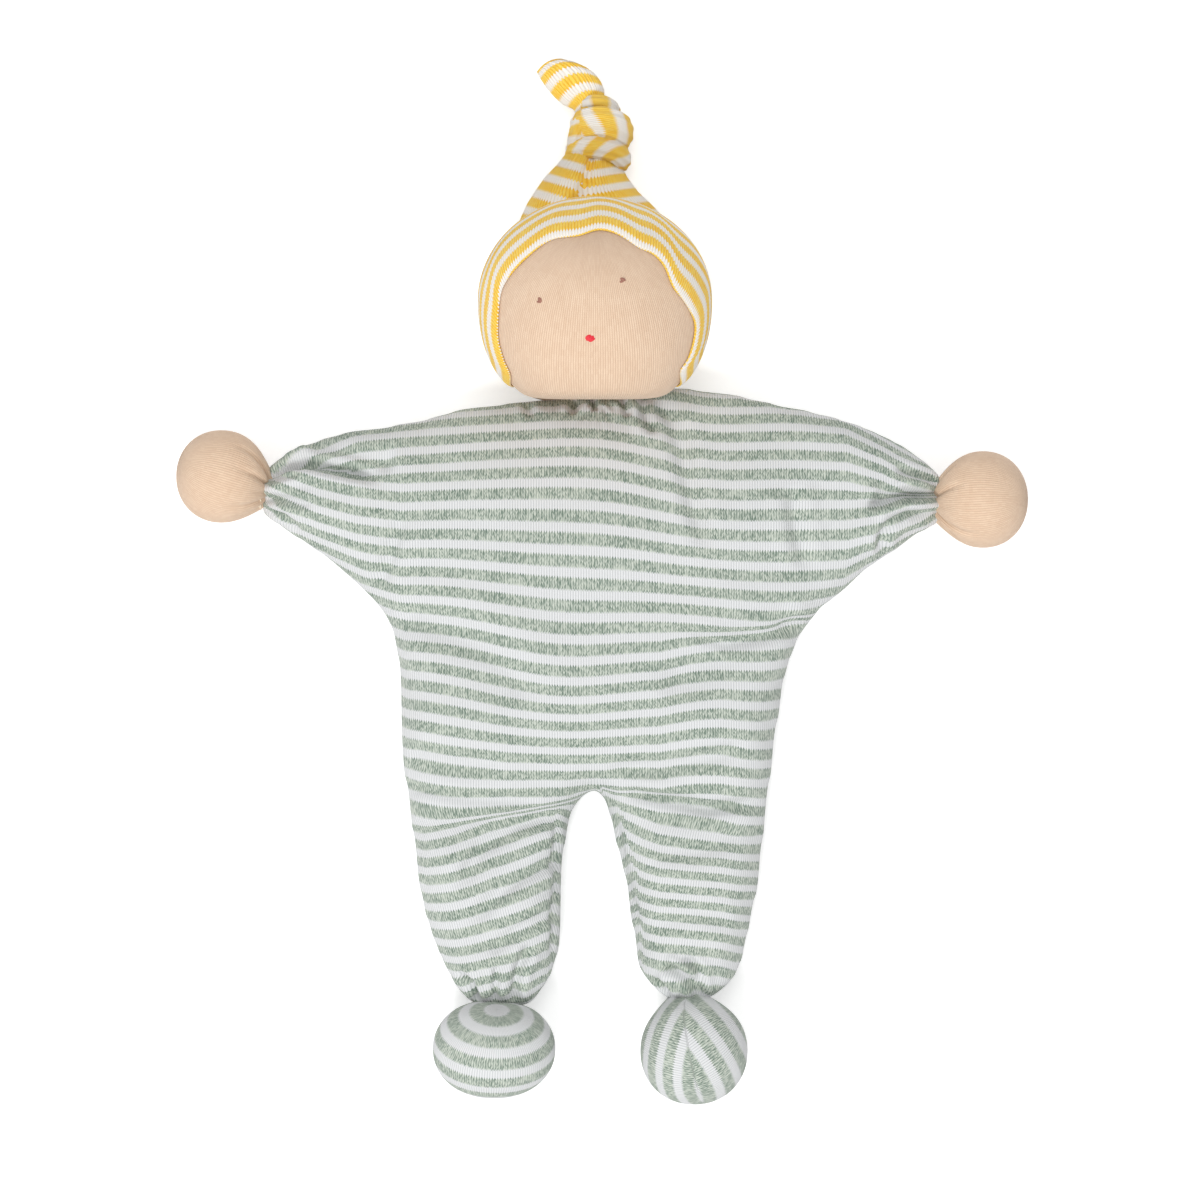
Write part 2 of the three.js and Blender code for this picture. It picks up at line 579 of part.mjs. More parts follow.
function tailSections() {
  const ends = ROUND_STEPS.map((angle) => ({
    centre: new THREE.Vector3(0, -TAIL.rootRadius * Math.cos(angle), 0),
    half: TAIL.rootWidth / 2 - TAIL.rootRadius * (1 - Math.sin(angle)) * CORNER_SHARE,
    up: TAIL.rootRadius * Math.sin(angle),
    down: TAIL.rootRadius * Math.sin(angle),
    pleat: TAIL_PLEAT_SHARES.root,
  }));
  const cone = TAIL_SHARES.map((share) => {
    const height = TAIL.rootRadius + share * (TAIL.endRise - TAIL.rootRadius);
    return {
      centre: new THREE.Vector3(0, share * TAIL.length, 0),
      half: (TAIL.rootWidth + share * (TAIL.endWidth - TAIL.rootWidth)) / 2,
      up: height,
      down: height,
      pleat: THREE.MathUtils.lerp(TAIL_PLEAT_SHARES.root, TAIL_PLEAT_SHARES.end, share),
    };
  });
  return [...ends, ...cone].map((section) => ({ across: X, ...section }));
}

const TIP_SHARES = [
  { along: 0.4, half: 0.37, rise: 0.5 },
  { along: 0.62, half: 0.5, rise: 0.5 },
  { along: 0.85, half: 0.5, rise: 0.5 },
];

function addTail(group, height) {
  const sections = tailSections();
  addNode(group, "hood_tail", pressFlat(tube(sections, 0, LIMB_SIDES, Y), height), "yellowKnit");

  const knotHalf = (KNOT.spacing * Math.cos(KNOT_LEAN)) / 2 + KNOT.band;
  const knotAt = new THREE.Vector3(KNOT.shift, TAIL.length - KNOT.bite + knotHalf, 0);
  const wrap = (way) => {
    const band = new THREE.TorusGeometry(KNOT.ring, KNOT.band, BAND_SIDES, RING_SIDES);
    band.rotateX(Math.PI / 2).scale(1, 1, KNOT.flatten).rotateZ(way * KNOT_LEAN);
    return solidOf(band.translate(knotAt.x, knotAt.y + (way * KNOT.spacing) / 2, 0));
  };
  const tipWay = new THREE.Vector3(-Math.sin(TIP_ANGLE), Math.cos(TIP_ANGLE), 0);
  const pivot = new THREE.Vector3(knotAt.x + KNOT_EXIT.x, knotAt.y + KNOT_EXIT.y, 0);
  const knot = wrap(1)
    .add(wrap(-1))
    .add(ball(KNOT.ring, knotAt))
    .subtract(ball(TIP.rootRadius + TIP.room, pivot))
    .subtract(tube(sections, -SEAT_GAP, LIMB_SIDES, Y));
  addNode(group, "hood_knot", pressFlat(knot, height), "yellowKnit");

  const free = groupAt(group, pivot.x, pivot.y, 0);
  const across = new THREE.Vector3(tipWay.y, -tipWay.x, 0);
  const root = ROUND_STEPS.map((angle) => ({
    along: -TIP.rootRadius * Math.cos(angle),
    half: TIP.rootRadius * Math.sin(angle),
    rise: Math.min(TIP.rootRadius, TIP.thickness / 2) * Math.sin(angle),
  }));
  const strip = TIP_SHARES.map((share) => ({
    along: share.along * TIP.length,
    half: share.half * TIP.width,
    rise: share.rise * TIP.thickness,
  }));
  const end = { along: TIP.length, half: TIP.endWidth / 2, rise: TIP.thickness / 4 };
  const rings = [...root, ...strip, end].map(({ along, half, rise }) =>
    tubeRing(
      { centre: tipWay.clone().multiplyScalar(along), across, half, up: rise, down: rise },
      LIMB_SIDES,
    ),
  );
  addNode(free, "hood_tip", pressFlat(loft(rings), height), "yellowKnit");
}

addTorso();
for (const side of ["left", "right"]) {
  addArm(side, ARMS[side], HANDS[side]);
  addLeg(side, LEGS[side], FEET[side]);
}
addHead();

// The frame's origin is the middle of the doll's footprint, on the table.
const middle = new THREE.Box3().setFromObject(doll).getCenter(new THREE.Vector3());
romper.position.x -= middle.x;
romper.position.y -= middle.y;

export default doll;
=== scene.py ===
import math

import bmesh
import bpy
import numpy as np
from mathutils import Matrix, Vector


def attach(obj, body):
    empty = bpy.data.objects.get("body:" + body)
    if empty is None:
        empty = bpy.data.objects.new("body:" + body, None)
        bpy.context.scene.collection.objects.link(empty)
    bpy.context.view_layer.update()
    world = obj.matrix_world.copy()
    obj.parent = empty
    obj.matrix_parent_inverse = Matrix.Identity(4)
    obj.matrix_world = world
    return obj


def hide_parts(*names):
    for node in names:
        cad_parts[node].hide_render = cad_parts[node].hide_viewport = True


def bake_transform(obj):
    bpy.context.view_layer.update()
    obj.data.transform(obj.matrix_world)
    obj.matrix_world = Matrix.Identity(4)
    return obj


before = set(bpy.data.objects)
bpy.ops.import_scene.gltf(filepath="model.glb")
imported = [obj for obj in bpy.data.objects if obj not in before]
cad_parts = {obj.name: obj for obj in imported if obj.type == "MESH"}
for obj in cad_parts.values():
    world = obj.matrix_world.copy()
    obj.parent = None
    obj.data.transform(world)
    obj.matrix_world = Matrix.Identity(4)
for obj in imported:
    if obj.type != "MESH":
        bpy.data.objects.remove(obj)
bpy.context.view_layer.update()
MM = 0.001


# Romper
# One cover of soft striped knit, cut in two panels that meet in a seam round the side, lightly
# filled with wool batting. It is gathered into the neck, the wrists and the ankles.
# Its outline is in millimetres in the frame's own x and y.

ROMPER_EDGE = {
    "collar": [(-25, 50.6), (-16.4, 51.8), (-7.8, 52.6), (-0.6, 52.9), (8.5, 53.8), (17.1, 54.6)],
    "left shoulder": [
        (25.7, 54.6), (38, 52.9), (49.4, 50.3), (61.2, 47.8), (71.5, 44.9),
        (80.1, 41.5), (86.7, 38), (92.7, 33.7), (96.1, 30),
    ],
    "left cuff": [(97.5, 28.3), (97.5, 17.7)],
    "left sleeve": [
        (94.4, 15.1), (88.7, 11.7), (83.8, 7.7), (76.6, 3.4), (69.8, -3.2), (62.9, -8.3), (57.7, -14.9),
    ],
    "left side": [
        (54.9, -20.4), (52.6, -27.5), (50.9, -38.1), (49.4, -47.6), (48.3, -57.6), (46.9, -67.6),
        (46, -77.6), (44.9, -87.6), (42.9, -96.2), (41.4, -104), (39.7, -110.5), (36.9, -115.7),
        (32.6, -118.8),
    ],
    "left ankle": [(29.4, -120.6), (19.4, -120.9)],
    "left inner leg": [
        (15.8, -118.2), (12.2, -114.5), (9.9, -109.7), (9.1, -102.8), (7.4, -93.4),
        (6.2, -84.8), (3.6, -75.3), (1.9, -67.6), (0.5, -62.7),
    ],
    "crotch": [(-2.9, -60.7)],
    "right inner leg": [
        (-6.7, -63.3), (-9.2, -69), (-10.4, -75.3), (-11.2, -83.3), (-11.5, -93.4),
        (-11.8, -102.8), (-13.2, -109.7), (-15.5, -115.4), (-18.7, -119.8),
    ],
    "right ankle": [(-22.6, -122.3), (-35.8, -122)],
    "right side": [
        (-39.9, -119.6), (-43, -115.1), (-46.2, -109.1), (-49, -101.9), (-51.9, -91.9),
        (-53.3, -81.9), (-54.5, -72.5), (-55.6, -63.3), (-57, -54.7), (-57.9, -43.3),
        (-58.2, -31.8), (-58.8, -21.8),
    ],
    "right sleeve": [
        (-60.5, -13.8), (-65.1, -6.6), (-71.6, -0.3), (-78.5, 5.4), (-85.4, 10.3), (-91.7, 14.3),
        (-95.7, 17.1),
    ],
    "right cuff": [(-98, 19.4), (-98, 29.4)],
    "right shoulder": [
        (-96.3, 31.7), (-92.3, 34.9), (-86.5, 38), (-79.7, 40.6), (-71.6, 42.6), (-61.3, 44),
        (-50.7, 46), (-37.3, 49.5),
    ],
}
OPEN_ENDS = ("collar", "left cuff", "left ankle", "right ankle", "right cuff")
EDGE_STEPS = 4  # points of the smooth outline to each of these
SEAM_HEIGHT = 8.2
SLAB = 3.2  # half the thickness of the flat cover before it is filled
VOXEL = 2.1  # side of its small square faces
EDGE_ROUND = 11.5  # radius of the filled cover's edge
ABOVE_TABLE = 0.02  # the lowest that any cloth lies
SIM_PRESSURE, SIM_FRAMES = 3.2, 20
SIM_CAP = 1.8  # the furthest that any point of the cover settles
COVER_GIVES, CREASES_GIVE = 1.2, 0.6  # height over the table from which each lies flatter

# How high the front stands over the seam, by y on the body and by |x| on the sleeves.
BODY_LOFT = [
    (-125, 4.2), (-118, 7), (-110, 10.4), (-95, 11.6), (-80, 11.2), (-70, 9), (-66, 8.4), (-60, 9.6),
    (-46, 12.2), (-20, 13.6), (10, 13.4), (30, 11.6), (42, 9.2), (50, 7.2), (56, 6),
]
SLEEVE_LOFT = [(57, 10.4), (64, 10.2), (75, 10.6), (86, 9.4), (93, 7.4), (98, 6.6)]
SLEEVE_TAKES_OVER = (50, 62)  # |x| from which the sleeves' height counts, and where it is all
BACK_DEPTH = 9.4
WRIST_LIFT, WRIST_RISE = 1.5, (76, 96)  # how far the seam lifts, and over which |x|
ANKLE_LIFT, ANKLE_RISE = 3.0, (-104, -119)  # and over which y
# Soft swells of the front where the batting has bunched: x, y, reach in x and y, height.
SWELLS = [
    (-44, -41, 16, 11, 1.6), (36, -42, 18, 11, 1.6), (-2, -42, 26, 16, 0.9), (-6, 22, 40, 18, 0.8),
    (40, 18, 11, 20, 0.9), (-33, 26, 12, 14, 0.7), (-76, 20, 14, 7, 1), (76, 12, 9, 8, 1.1),
    (-44, -63, 12, 5, 1), (34, -57.5, 14, 3.4, 0.9), (-44, -80, 9, 9, 0.7), (-24, -92, 8, 7, 0.9),
    (26, -84, 12, 9, 0.8), (33, -104, 9, 8, 0.7), (-38, -110, 9, 6, 0.8),
]
SWELL_SCALE = 2.0


def smoothstep(low, high, value):
    t = np.clip((value - low) / (high - low), 0, 1)
    return t * t * (3 - 2 * t)


def bump_at(x, y, centre, reach):
    return np.exp(-(((x - centre[0]) / reach[0]) ** 2) - ((y - centre[1]) / reach[1]) ** 2)


def curve_between(a, b, c, d, t):
    """A smooth curve from b to c, where a comes before them and d after."""
    bend, twist = 2 * a - 5 * b + 4 * c - d, 3 * b - a - 3 * c + d
    return 0.5 * (2 * b + (c - a) * t + bend * t**2 + twist * t**3)


def rounded_loop(points, steps):
    """A closed curve through the points, with this many steps from one to the next."""
    p = np.array(points, float)
    before, after, later = np.roll(p, 1, 0), np.roll(p, -1, 0), np.roll(p, -2, 0)
    curve = [curve_between(before, p, after, later, i / steps) for i in range(steps)]
    return np.stack(curve, 1).reshape(-1, p.shape[1])


def distance_to(line, x, y):
    """Distance in plan to an open or closed line of points, and how far along it that is, 0 to 1."""
    here = np.stack([x, y], 1)
    best, along = np.full(len(x), 1e9), np.zeros(len(x))
    for i, (a, b) in enumerate(zip(line[:-1], line[1:])):
        way = b - a
        t = np.clip(((here - a) @ way) / (way @ way), 0, 1)
        gap = np.linalg.norm(here - a - t[:, None] * way, axis=1)
        closer = gap < best
        best[closer], along[closer] = gap[closer], (i + t[closer]) / (len(line) - 1)
    return best, along


def points_of(mesh):
    """The mesh's points, in millimetres."""
    co = np.empty(len(mesh.vertices) * 3, np.float32)
    mesh.vertices.foreach_get("co", co)
    return co.reshape(-1, 3).astype(float) / MM


def set_points(mesh, points):
    mesh.vertices.foreach_set("co", (np.asarray(points) * MM).astype(np.float32).ravel())
    mesh.update()


def normals_of(mesh):
    normals = np.empty(len(mesh.vertices) * 3, np.float32)
    mesh.vertex_normals.foreach_get("vector", normals)
    return normals.reshape(-1, 3).astype(float)


def keep_points(mesh, name, values):
    """Stores a vector at each point, which later subdivision carries on."""
    kept = mesh.attributes.get(name) or mesh.attributes.new(name, "FLOAT_VECTOR", "POINT")
    kept.data.foreach_set("vector", np.asarray(values, np.float32).ravel())


def kept_points(mesh, name):
    values = np.empty(len(mesh.vertices) * 3, np.float32)
    mesh.attributes[name].data.foreach_get("vector", values)
    return values.reshape(-1, 3).astype(float)


def select_only(piece):
    bpy.ops.object.select_all(action="DESELECT")
    piece.select_set(True)
    bpy.context.view_layer.objects.active = piece


def apply_modifier(piece, name, kind, **settings):
    select_only(piece)
    made = piece.modifiers.new(name, kind)
    for key, value in settings.items():
        setattr(made, key, value)
    bpy.ops.object.modifier_apply(modifier=made.name)


def subdivide(piece, levels):
    apply_modifier(piece, "finer", "SUBSURF", levels=levels, render_levels=levels)


def new_piece(name, vertices, faces):
    mesh = bpy.data.meshes.new(name)
    mesh.from_pydata([tuple(v) for v in np.asarray(vertices) * MM], [], faces)
    mesh.update()
    piece = bpy.data.objects.new(name, mesh)
    bpy.context.scene.collection.objects.link(piece)
    return piece


def smooth_points(mesh, points, rounds, share=0.5):
    """Moves every point towards the middle of its neighbours."""
    edges = np.empty(len(mesh.edges) * 2, np.int32)
    mesh.edges.foreach_get("vertices", edges)
    a, b = edges.reshape(-1, 2).T
    count = np.bincount(np.concatenate([a, b]), minlength=len(points))[:, None]
    for _ in range(rounds):
        total = np.zeros_like(points)
        np.add.at(total, a, points[b])
        np.add.at(total, b, points[a])
        points = points + share * (total / count - points)
    return points


def fill_slab(edge, name):
    """A flat cover of even thickness inside the outline, in small square faces."""
    ring = [(x, y, SEAM_HEIGHT - SLAB) for x, y in edge]
    piece = new_piece(name, ring, [list(range(len(ring)))])
    bm = bmesh.new()
    bm.from_mesh(piece.data)
    top = bmesh.ops.extrude_face_region(bm, geom=bm.faces[:])["geom"]
    bmesh.ops.translate(
        bm, vec=(0, 0, 2 * SLAB * MM), verts=[v for v in top if isinstance(v, bmesh.types.BMVert)]
    )
    bmesh.ops.recalc_face_normals(bm, faces=bm.faces[:])
    bm.to_mesh(piece.data)
    bm.free()
    apply_modifier(piece, "squares", "REMESH", mode="VOXEL", voxel_size=VOXEL * MM)
    return piece


def puff(x, y, z, gap):
    """The filled cover's height: round at the edge, and as high inside as the batting holds it."""
    out = np.abs(x)
    sleeve = smoothstep(*SLEEVE_TAKES_OVER, out)
    front = (1 - sleeve) * np.interp(y, *zip(*BODY_LOFT)) + sleeve * np.interp(out, *zip(*SLEEVE_LOFT))
    for middle_x, middle_y, reach_x, reach_y, height in SWELLS:
        front = front + SWELL_SCALE * height * bump_at(x, y, (middle_x, middle_y), (reach_x, reach_y))
    lift = WRIST_LIFT * smoothstep(*WRIST_RISE, out) + ANKLE_LIFT * smoothstep(*ANKLE_RISE, y)
    level = (z - SEAM_HEIGHT) / SLAB
    inward = np.clip((gap + 0.4 * np.abs(level)) / EDGE_ROUND, 0, 1)
    dome = np.sqrt(1 - (1 - inward) ** 2)
    height = np.where(level > 0, front, BACK_DEPTH) * dome * np.sign(level)
    height = np.where(np.abs(level) > 0.9, height, level * SLAB)
    return SEAM_HEIGHT + lift + height


def rest_on_table(points, soft):
    """Flattens what would sink into the table."""
    low = points[:, 2]
    points[:, 2] = np.where(low < soft, soft * np.exp((low - soft) / soft), low)
    points[:, 2] = np.maximum(points[:, 2] - ABOVE_TABLE, ABOVE_TABLE)
    return points


def fill_by_cloth(piece, held, pressure, cap):
    """Lets the cover settle over its filling as cloth, held at its seam, by at most cap."""
    rest = points_of(piece.data)
    group = piece.vertex_groups.new(name="seam")
    for index in np.flatnonzero(held):
        group.add([int(index)], 1.0, "REPLACE")
    select_only(piece)
    cloth = piece.modifiers.new("cover", "CLOTH")
    cloth.settings.quality = 6
    cloth.settings.mass = 0.15
    cloth.settings.tension_stiffness = 12
    cloth.settings.compression_stiffness = 6
    cloth.settings.bending_stiffness = 0.6
    cloth.settings.use_pressure = True
    cloth.settings.uniform_pressure_force = pressure
    cloth.settings.effector_weights.gravity = 0
    cloth.settings.vertex_group_mass = "seam"
    cloth.point_cache.frame_start, cloth.point_cache.frame_end = 1, SIM_FRAMES
    for number in range(1, SIM_FRAMES + 1):
        bpy.context.scene.frame_set(number)
    bpy.ops.object.modifier_apply(modifier=cloth.name)
    bpy.context.scene.frame_set(1)
    moved = points_of(piece.data) - rest
    far = np.linalg.norm(moved, axis=1)[:, None]
    settled = rest + moved * np.minimum(1, cap / np.maximum(far, 1e-6))
    piece.vertex_groups.clear()
    set_points(piece.data, settled)


romper_edge = rounded_loop([p for part in ROMPER_EDGE.values() for p in part], EDGE_STEPS)
# The cover rounds off towards its side seam, and not towards the ends that are gathered.
owners = [name for name, part in ROMPER_EDGE.items() for _ in part]
round_edges = []
for i, name in enumerate(owners):
    if not (name in OPEN_ENDS and owners[(i + 1) % len(owners)] == name):
        stretch = np.arange(EDGE_STEPS * i, EDGE_STEPS * (i + 1) + 1)
        round_edges.append(romper_edge[stretch % len(romper_edge)])
romper = fill_slab(romper_edge, "romper")
flat = smooth_points(romper.data, points_of(romper.data), 2)
flat[:, 2] = points_of(romper.data)[:, 2]
gap = np.min([distance_to(edge, flat[:, 0], flat[:, 1])[0] for edge in round_edges], axis=0)
keep_points(romper.data, "cut", flat)
filled = flat.copy()
filled[:, 2] = puff(flat[:, 0], flat[:, 1], flat[:, 2], gap)
filled = smooth_points(romper.data, filled, 3)
set_points(romper.data, filled)
at_seam = (gap < VOXEL) & (np.abs(flat[:, 2] - SEAM_HEIGHT) < 0.9 * SLAB)
fill_by_cloth(romper, at_seam, SIM_PRESSURE, SIM_CAP)
set_points(romper.data, rest_on_table(points_of(romper.data), COVER_GIVES))
subdivide(romper, 1)

# The knit's own coordinates: across its ribs and down its courses, both in millimetres. The
# cloth runs straight across body and sleeves, drifts as it was sewn and filled, turns on the
# legs, and draws together at the wrists.
STRIPE_PITCH = 5.725
FIRST_STRIPE = 51.2
DRIFT_BASE, DRIFT_ACROSS, DRIFT_UP = 1.226, 0.0308, 0.0831
STRIPE_DRIFT = [  # x, y, reach in x and y, how far the stripes sink there
    (-98.3, 2.9, 20, 70, 6.5), (3.8, 41.1, 56.2, 30.2, -7), (28.6, 43.1, 20, 43.1, 4.4),
    (51.2, -70, 20, 63.8, 7), (-45, -70, 21.3, 70, 7), (98.3, 21.7, 20, 24.9, 7),
    (-12.5, -33.2, 27.2, 27.4, 5), (-46.7, -32.1, 23.4, 49.6, -6.8),
]
LEG_DRIFT = {  # middle of the leg, then shares of x, y and their products, in centimetres
    "right": (-31.9, (0.285, -1.75, -4.254, -0.28, 0.375, 1.524, -0.125, -0.171)),
    "left": (25.4, (-2.191, 1.898, 4.054, -0.283, -0.018, -2.551, 0.205, 0.275)),
}
# Folds that swallow some of the cloth: points in plan, how much each hides, half width, and the
# side of the body that it lies on.
TUCKS = [
    ([(16.5, -15.8), (33.7, -15.8), (50.9, -14.1), (60.9, -11.2)], [0, 4, 6.6, 6.6], 2.2, 0),
    ([(-51.3, -71.3), (-42.4, -69.6), (-31.6, -67.9), (-16.4, -65.3), (-0.7, -62.4)],
     [1.4, 3.6, 7.2, 10, 8], 1.6, -1),
    ([(-0.7, -60.7), (12.5, -61.6), (25.7, -61.9), (38.9, -63), (53.7, -63.3)],
     [8, 4.3, 1.8, 0, 0], 1.4, 1),
]
LEG_TWIST = {"right": 0.25, "left": -0.15}
# Seams inside the legs: y and x going up, the side of them that the inner strip is on, the slope
# of its courses and how far it is out of step.
INSEAMS = [
    ([(-112, -14.4), (-90, -12.9), (-66, -13.6)], 1, -0.7, 2.2),
    ([(-110, 10.2), (-85.6, 9.9), (-70.7, 5.9), (-62, 3.4)], -1, -1.0, 2.6),
]
INSEAM_REACH = 18  # how far from the crotch the inner strips go
INSEAM_STARTS = (2, 8)  # below the hip
CROTCH_X = -0.7
HIP = -60.4
LEG_STARTS = (3, 14)  # below the hip, where the body's drift gives way to the leg's
EDGE_WRAP = 0.45  # how much of the edge's round the map takes up
WRIST_WRAP, WRIST_WRAP_FROM = 0.7, (78, 97)  # how much less of it at the wrists, and at which |x|
SLEEVE_START = 57  # past this |x| the courses are drawn towards the tie, on each side of a fold
LEFT_FOLD = 24  # y of the fold, then by x: how drawn, and what the fold hides over and under it
LEFT_DRAW = [
    (57, 1, 0, 0), (70, 0.98, 0.5, 0), (80, 0.8, 2.5, 0.2), (87.5, 0.7, 6.5, 3.4), (97, 0.45, 7.5, 3),
]
RIGHT_FOLD = [(-98, 28.9), (-92, 31.2), (-86.5, 33), (-80, 33), (-74.2, 32), (-65.9, 29.6), (-57, 28)]
RIGHT_DRAW = [  # x, share and offset under the fold, offset over it
    (-98, 0.7, 16.3, 13), (-90.5, 0.86, 10.2, 8.2), (-80.8, 0.905, 5.9, 3.6), (-70, 0.96, 2.2, 0.9),
    (-57, 1, 0, 0),
]


def hidden_cloth(x, y):
    """How much cloth the folds above each place have swallowed."""
    hidden = np.zeros(len(x))
    for line, amounts, half, side in TUCKS:
        over, under = zip(*line)
        here = np.interp(x, over, amounts) * ((x - CROTCH_X) * side >= 0)
        hidden += here * smoothstep(half, -half, y - np.interp(x, over, under))
    return hidden


def along_sleeves(x, y):
    """Where the cloth of each sleeve comes from, as a place on the trunk."""
    over, drawn, above, under = zip(*LEFT_DRAW)
    beyond = y - LEFT_FOLD
    hidden = np.where(beyond > 0, np.interp(x, over, above), -np.interp(x, over, under))
    left = LEFT_FOLD + beyond / np.interp(x, over, drawn) + hidden * smoothstep(0, 1, np.abs(beyond))
    over, drawn, under, above = zip(*RIGHT_DRAW)
    low = (y - np.interp(x, over, under)) / np.interp(x, over, drawn)
    high = y + np.interp(x, over, above)
    share = smoothstep(-0.4, 0.4, y - np.interp(x, *zip(*RIGHT_FOLD)))
    right = low * (1 - share) + high * share
    y = np.where(x > SLEEVE_START, left, np.where(x < -SLEEVE_START, right, y))
    return np.clip(x, -SLEEVE_START, SLEEVE_START), y


def knit_coordinates(cut, normals):
    """Across the ribs and down the courses, from where each point was cut and how it faces now."""
    side = np.hypot(normals[:, 0], normals[:, 1])
    lean = np.arccos(np.clip(side, 0, 1))
    wrap = EDGE_WRAP * EDGE_ROUND * (math.pi / 2 - lean - np.cos(lean))
    wrap = wrap / np.maximum(side, 1e-6)
    wrap = wrap * (1 - WRIST_WRAP * smoothstep(*WRIST_WRAP_FROM, np.abs(cut[:, 0])))
    x, y = cut[:, 0] - wrap * normals[:, 0], cut[:, 1] - wrap * normals[:, 1]
    ribs = x.copy()
    x, y = along_sleeves(x, y)
    drift = DRIFT_BASE + DRIFT_ACROSS * x + DRIFT_UP * y
    for cx, cy, rx, ry, sink in STRIPE_DRIFT:
        drift = drift + sink * bump_at(x, y, (cx, cy), (rx, ry))
    below = smoothstep(*LEG_STARTS, HIP - y)
    for name, (middle, shares) in LEG_DRIFT.items():
        here = below * ((x < CROTCH_X) if name == "right" else (x >= CROTCH_X))
        over, deep = (x - middle) / 10, (HIP - y) / 10
        terms = (1, over, deep, over**2, over * deep, deep**2, over**2 * deep, deep**3)
        leg = sum(share * term for share, term in zip(shares, terms))
        drift = drift * (1 - here) + leg * here
        ribs = ribs + here * LEG_TWIST[name] * (y - HIP)
    drift = drift - hidden_cloth(x, y)
    courses = FIRST_STRIPE - y - drift
    for edge, side, slope, shift in INSEAMS:
        under, over = zip(*edge)
        past = (x - np.interp(y, under, over)) * side
        inner = smoothstep(0, 0.5, past) * smoothstep(*INSEAM_STARTS, HIP - y)
        inner = inner * (np.abs(x - CROTCH_X) < INSEAM_REACH) * ((x - CROTCH_X) * side < 0)
        courses = courses + inner * (slope * past + shift)
    return ribs, courses


cut = kept_points(romper.data, "cut")
ribs, courses = knit_coordinates(cut, -normals_of(romper.data))
keep_points(romper.data, "knit", np.stack([ribs, courses, np.zeros(len(ribs))], 1))

# Where the cover is gathered, its faces are made finer, then creased.
FINE_REACH = 17  # how far from a gather the faces are finer
GATHERS = {  # middle of the gather, its axis in plan, pleats, how far they run
    "neck": ((-2.1, 53.1, 11.5), (0, 1), 17, 13),
    "left wrist": ((97.5, 23, 9.7), (1, 0), 9, 15),
    "right wrist": ((-98, 24.4, 9.7), (-1, 0), 9, 15),
    "left ankle": ((24.4, -120.8, 11.2), (0, -1), 9, 15),
    "right ankle": ((-29.2, -122.2, 11.2), (0, -1), 9, 15),
}


def refine_near(piece, spots, reach):
    """Cuts every edge near the spots in two."""
    bm = bmesh.new()
    bm.from_mesh(piece.data)
    near = [
        edge for edge in bm.edges
        if any((edge.verts[0].co - Vector(s) * MM).length < reach * MM for s in spots)
    ]
    bmesh.ops.subdivide_edges(bm, edges=near, cuts=1, use_grid_fill=True, smooth=0)
    bmesh.ops.triangulate(bm, faces=[f for f in bm.faces if len(f.verts) > 4])
    bm.to_mesh(piece.data)
    bm.free()


refine_near(romper, [spot for spot, *_ in GATHERS.values()], FINE_REACH)

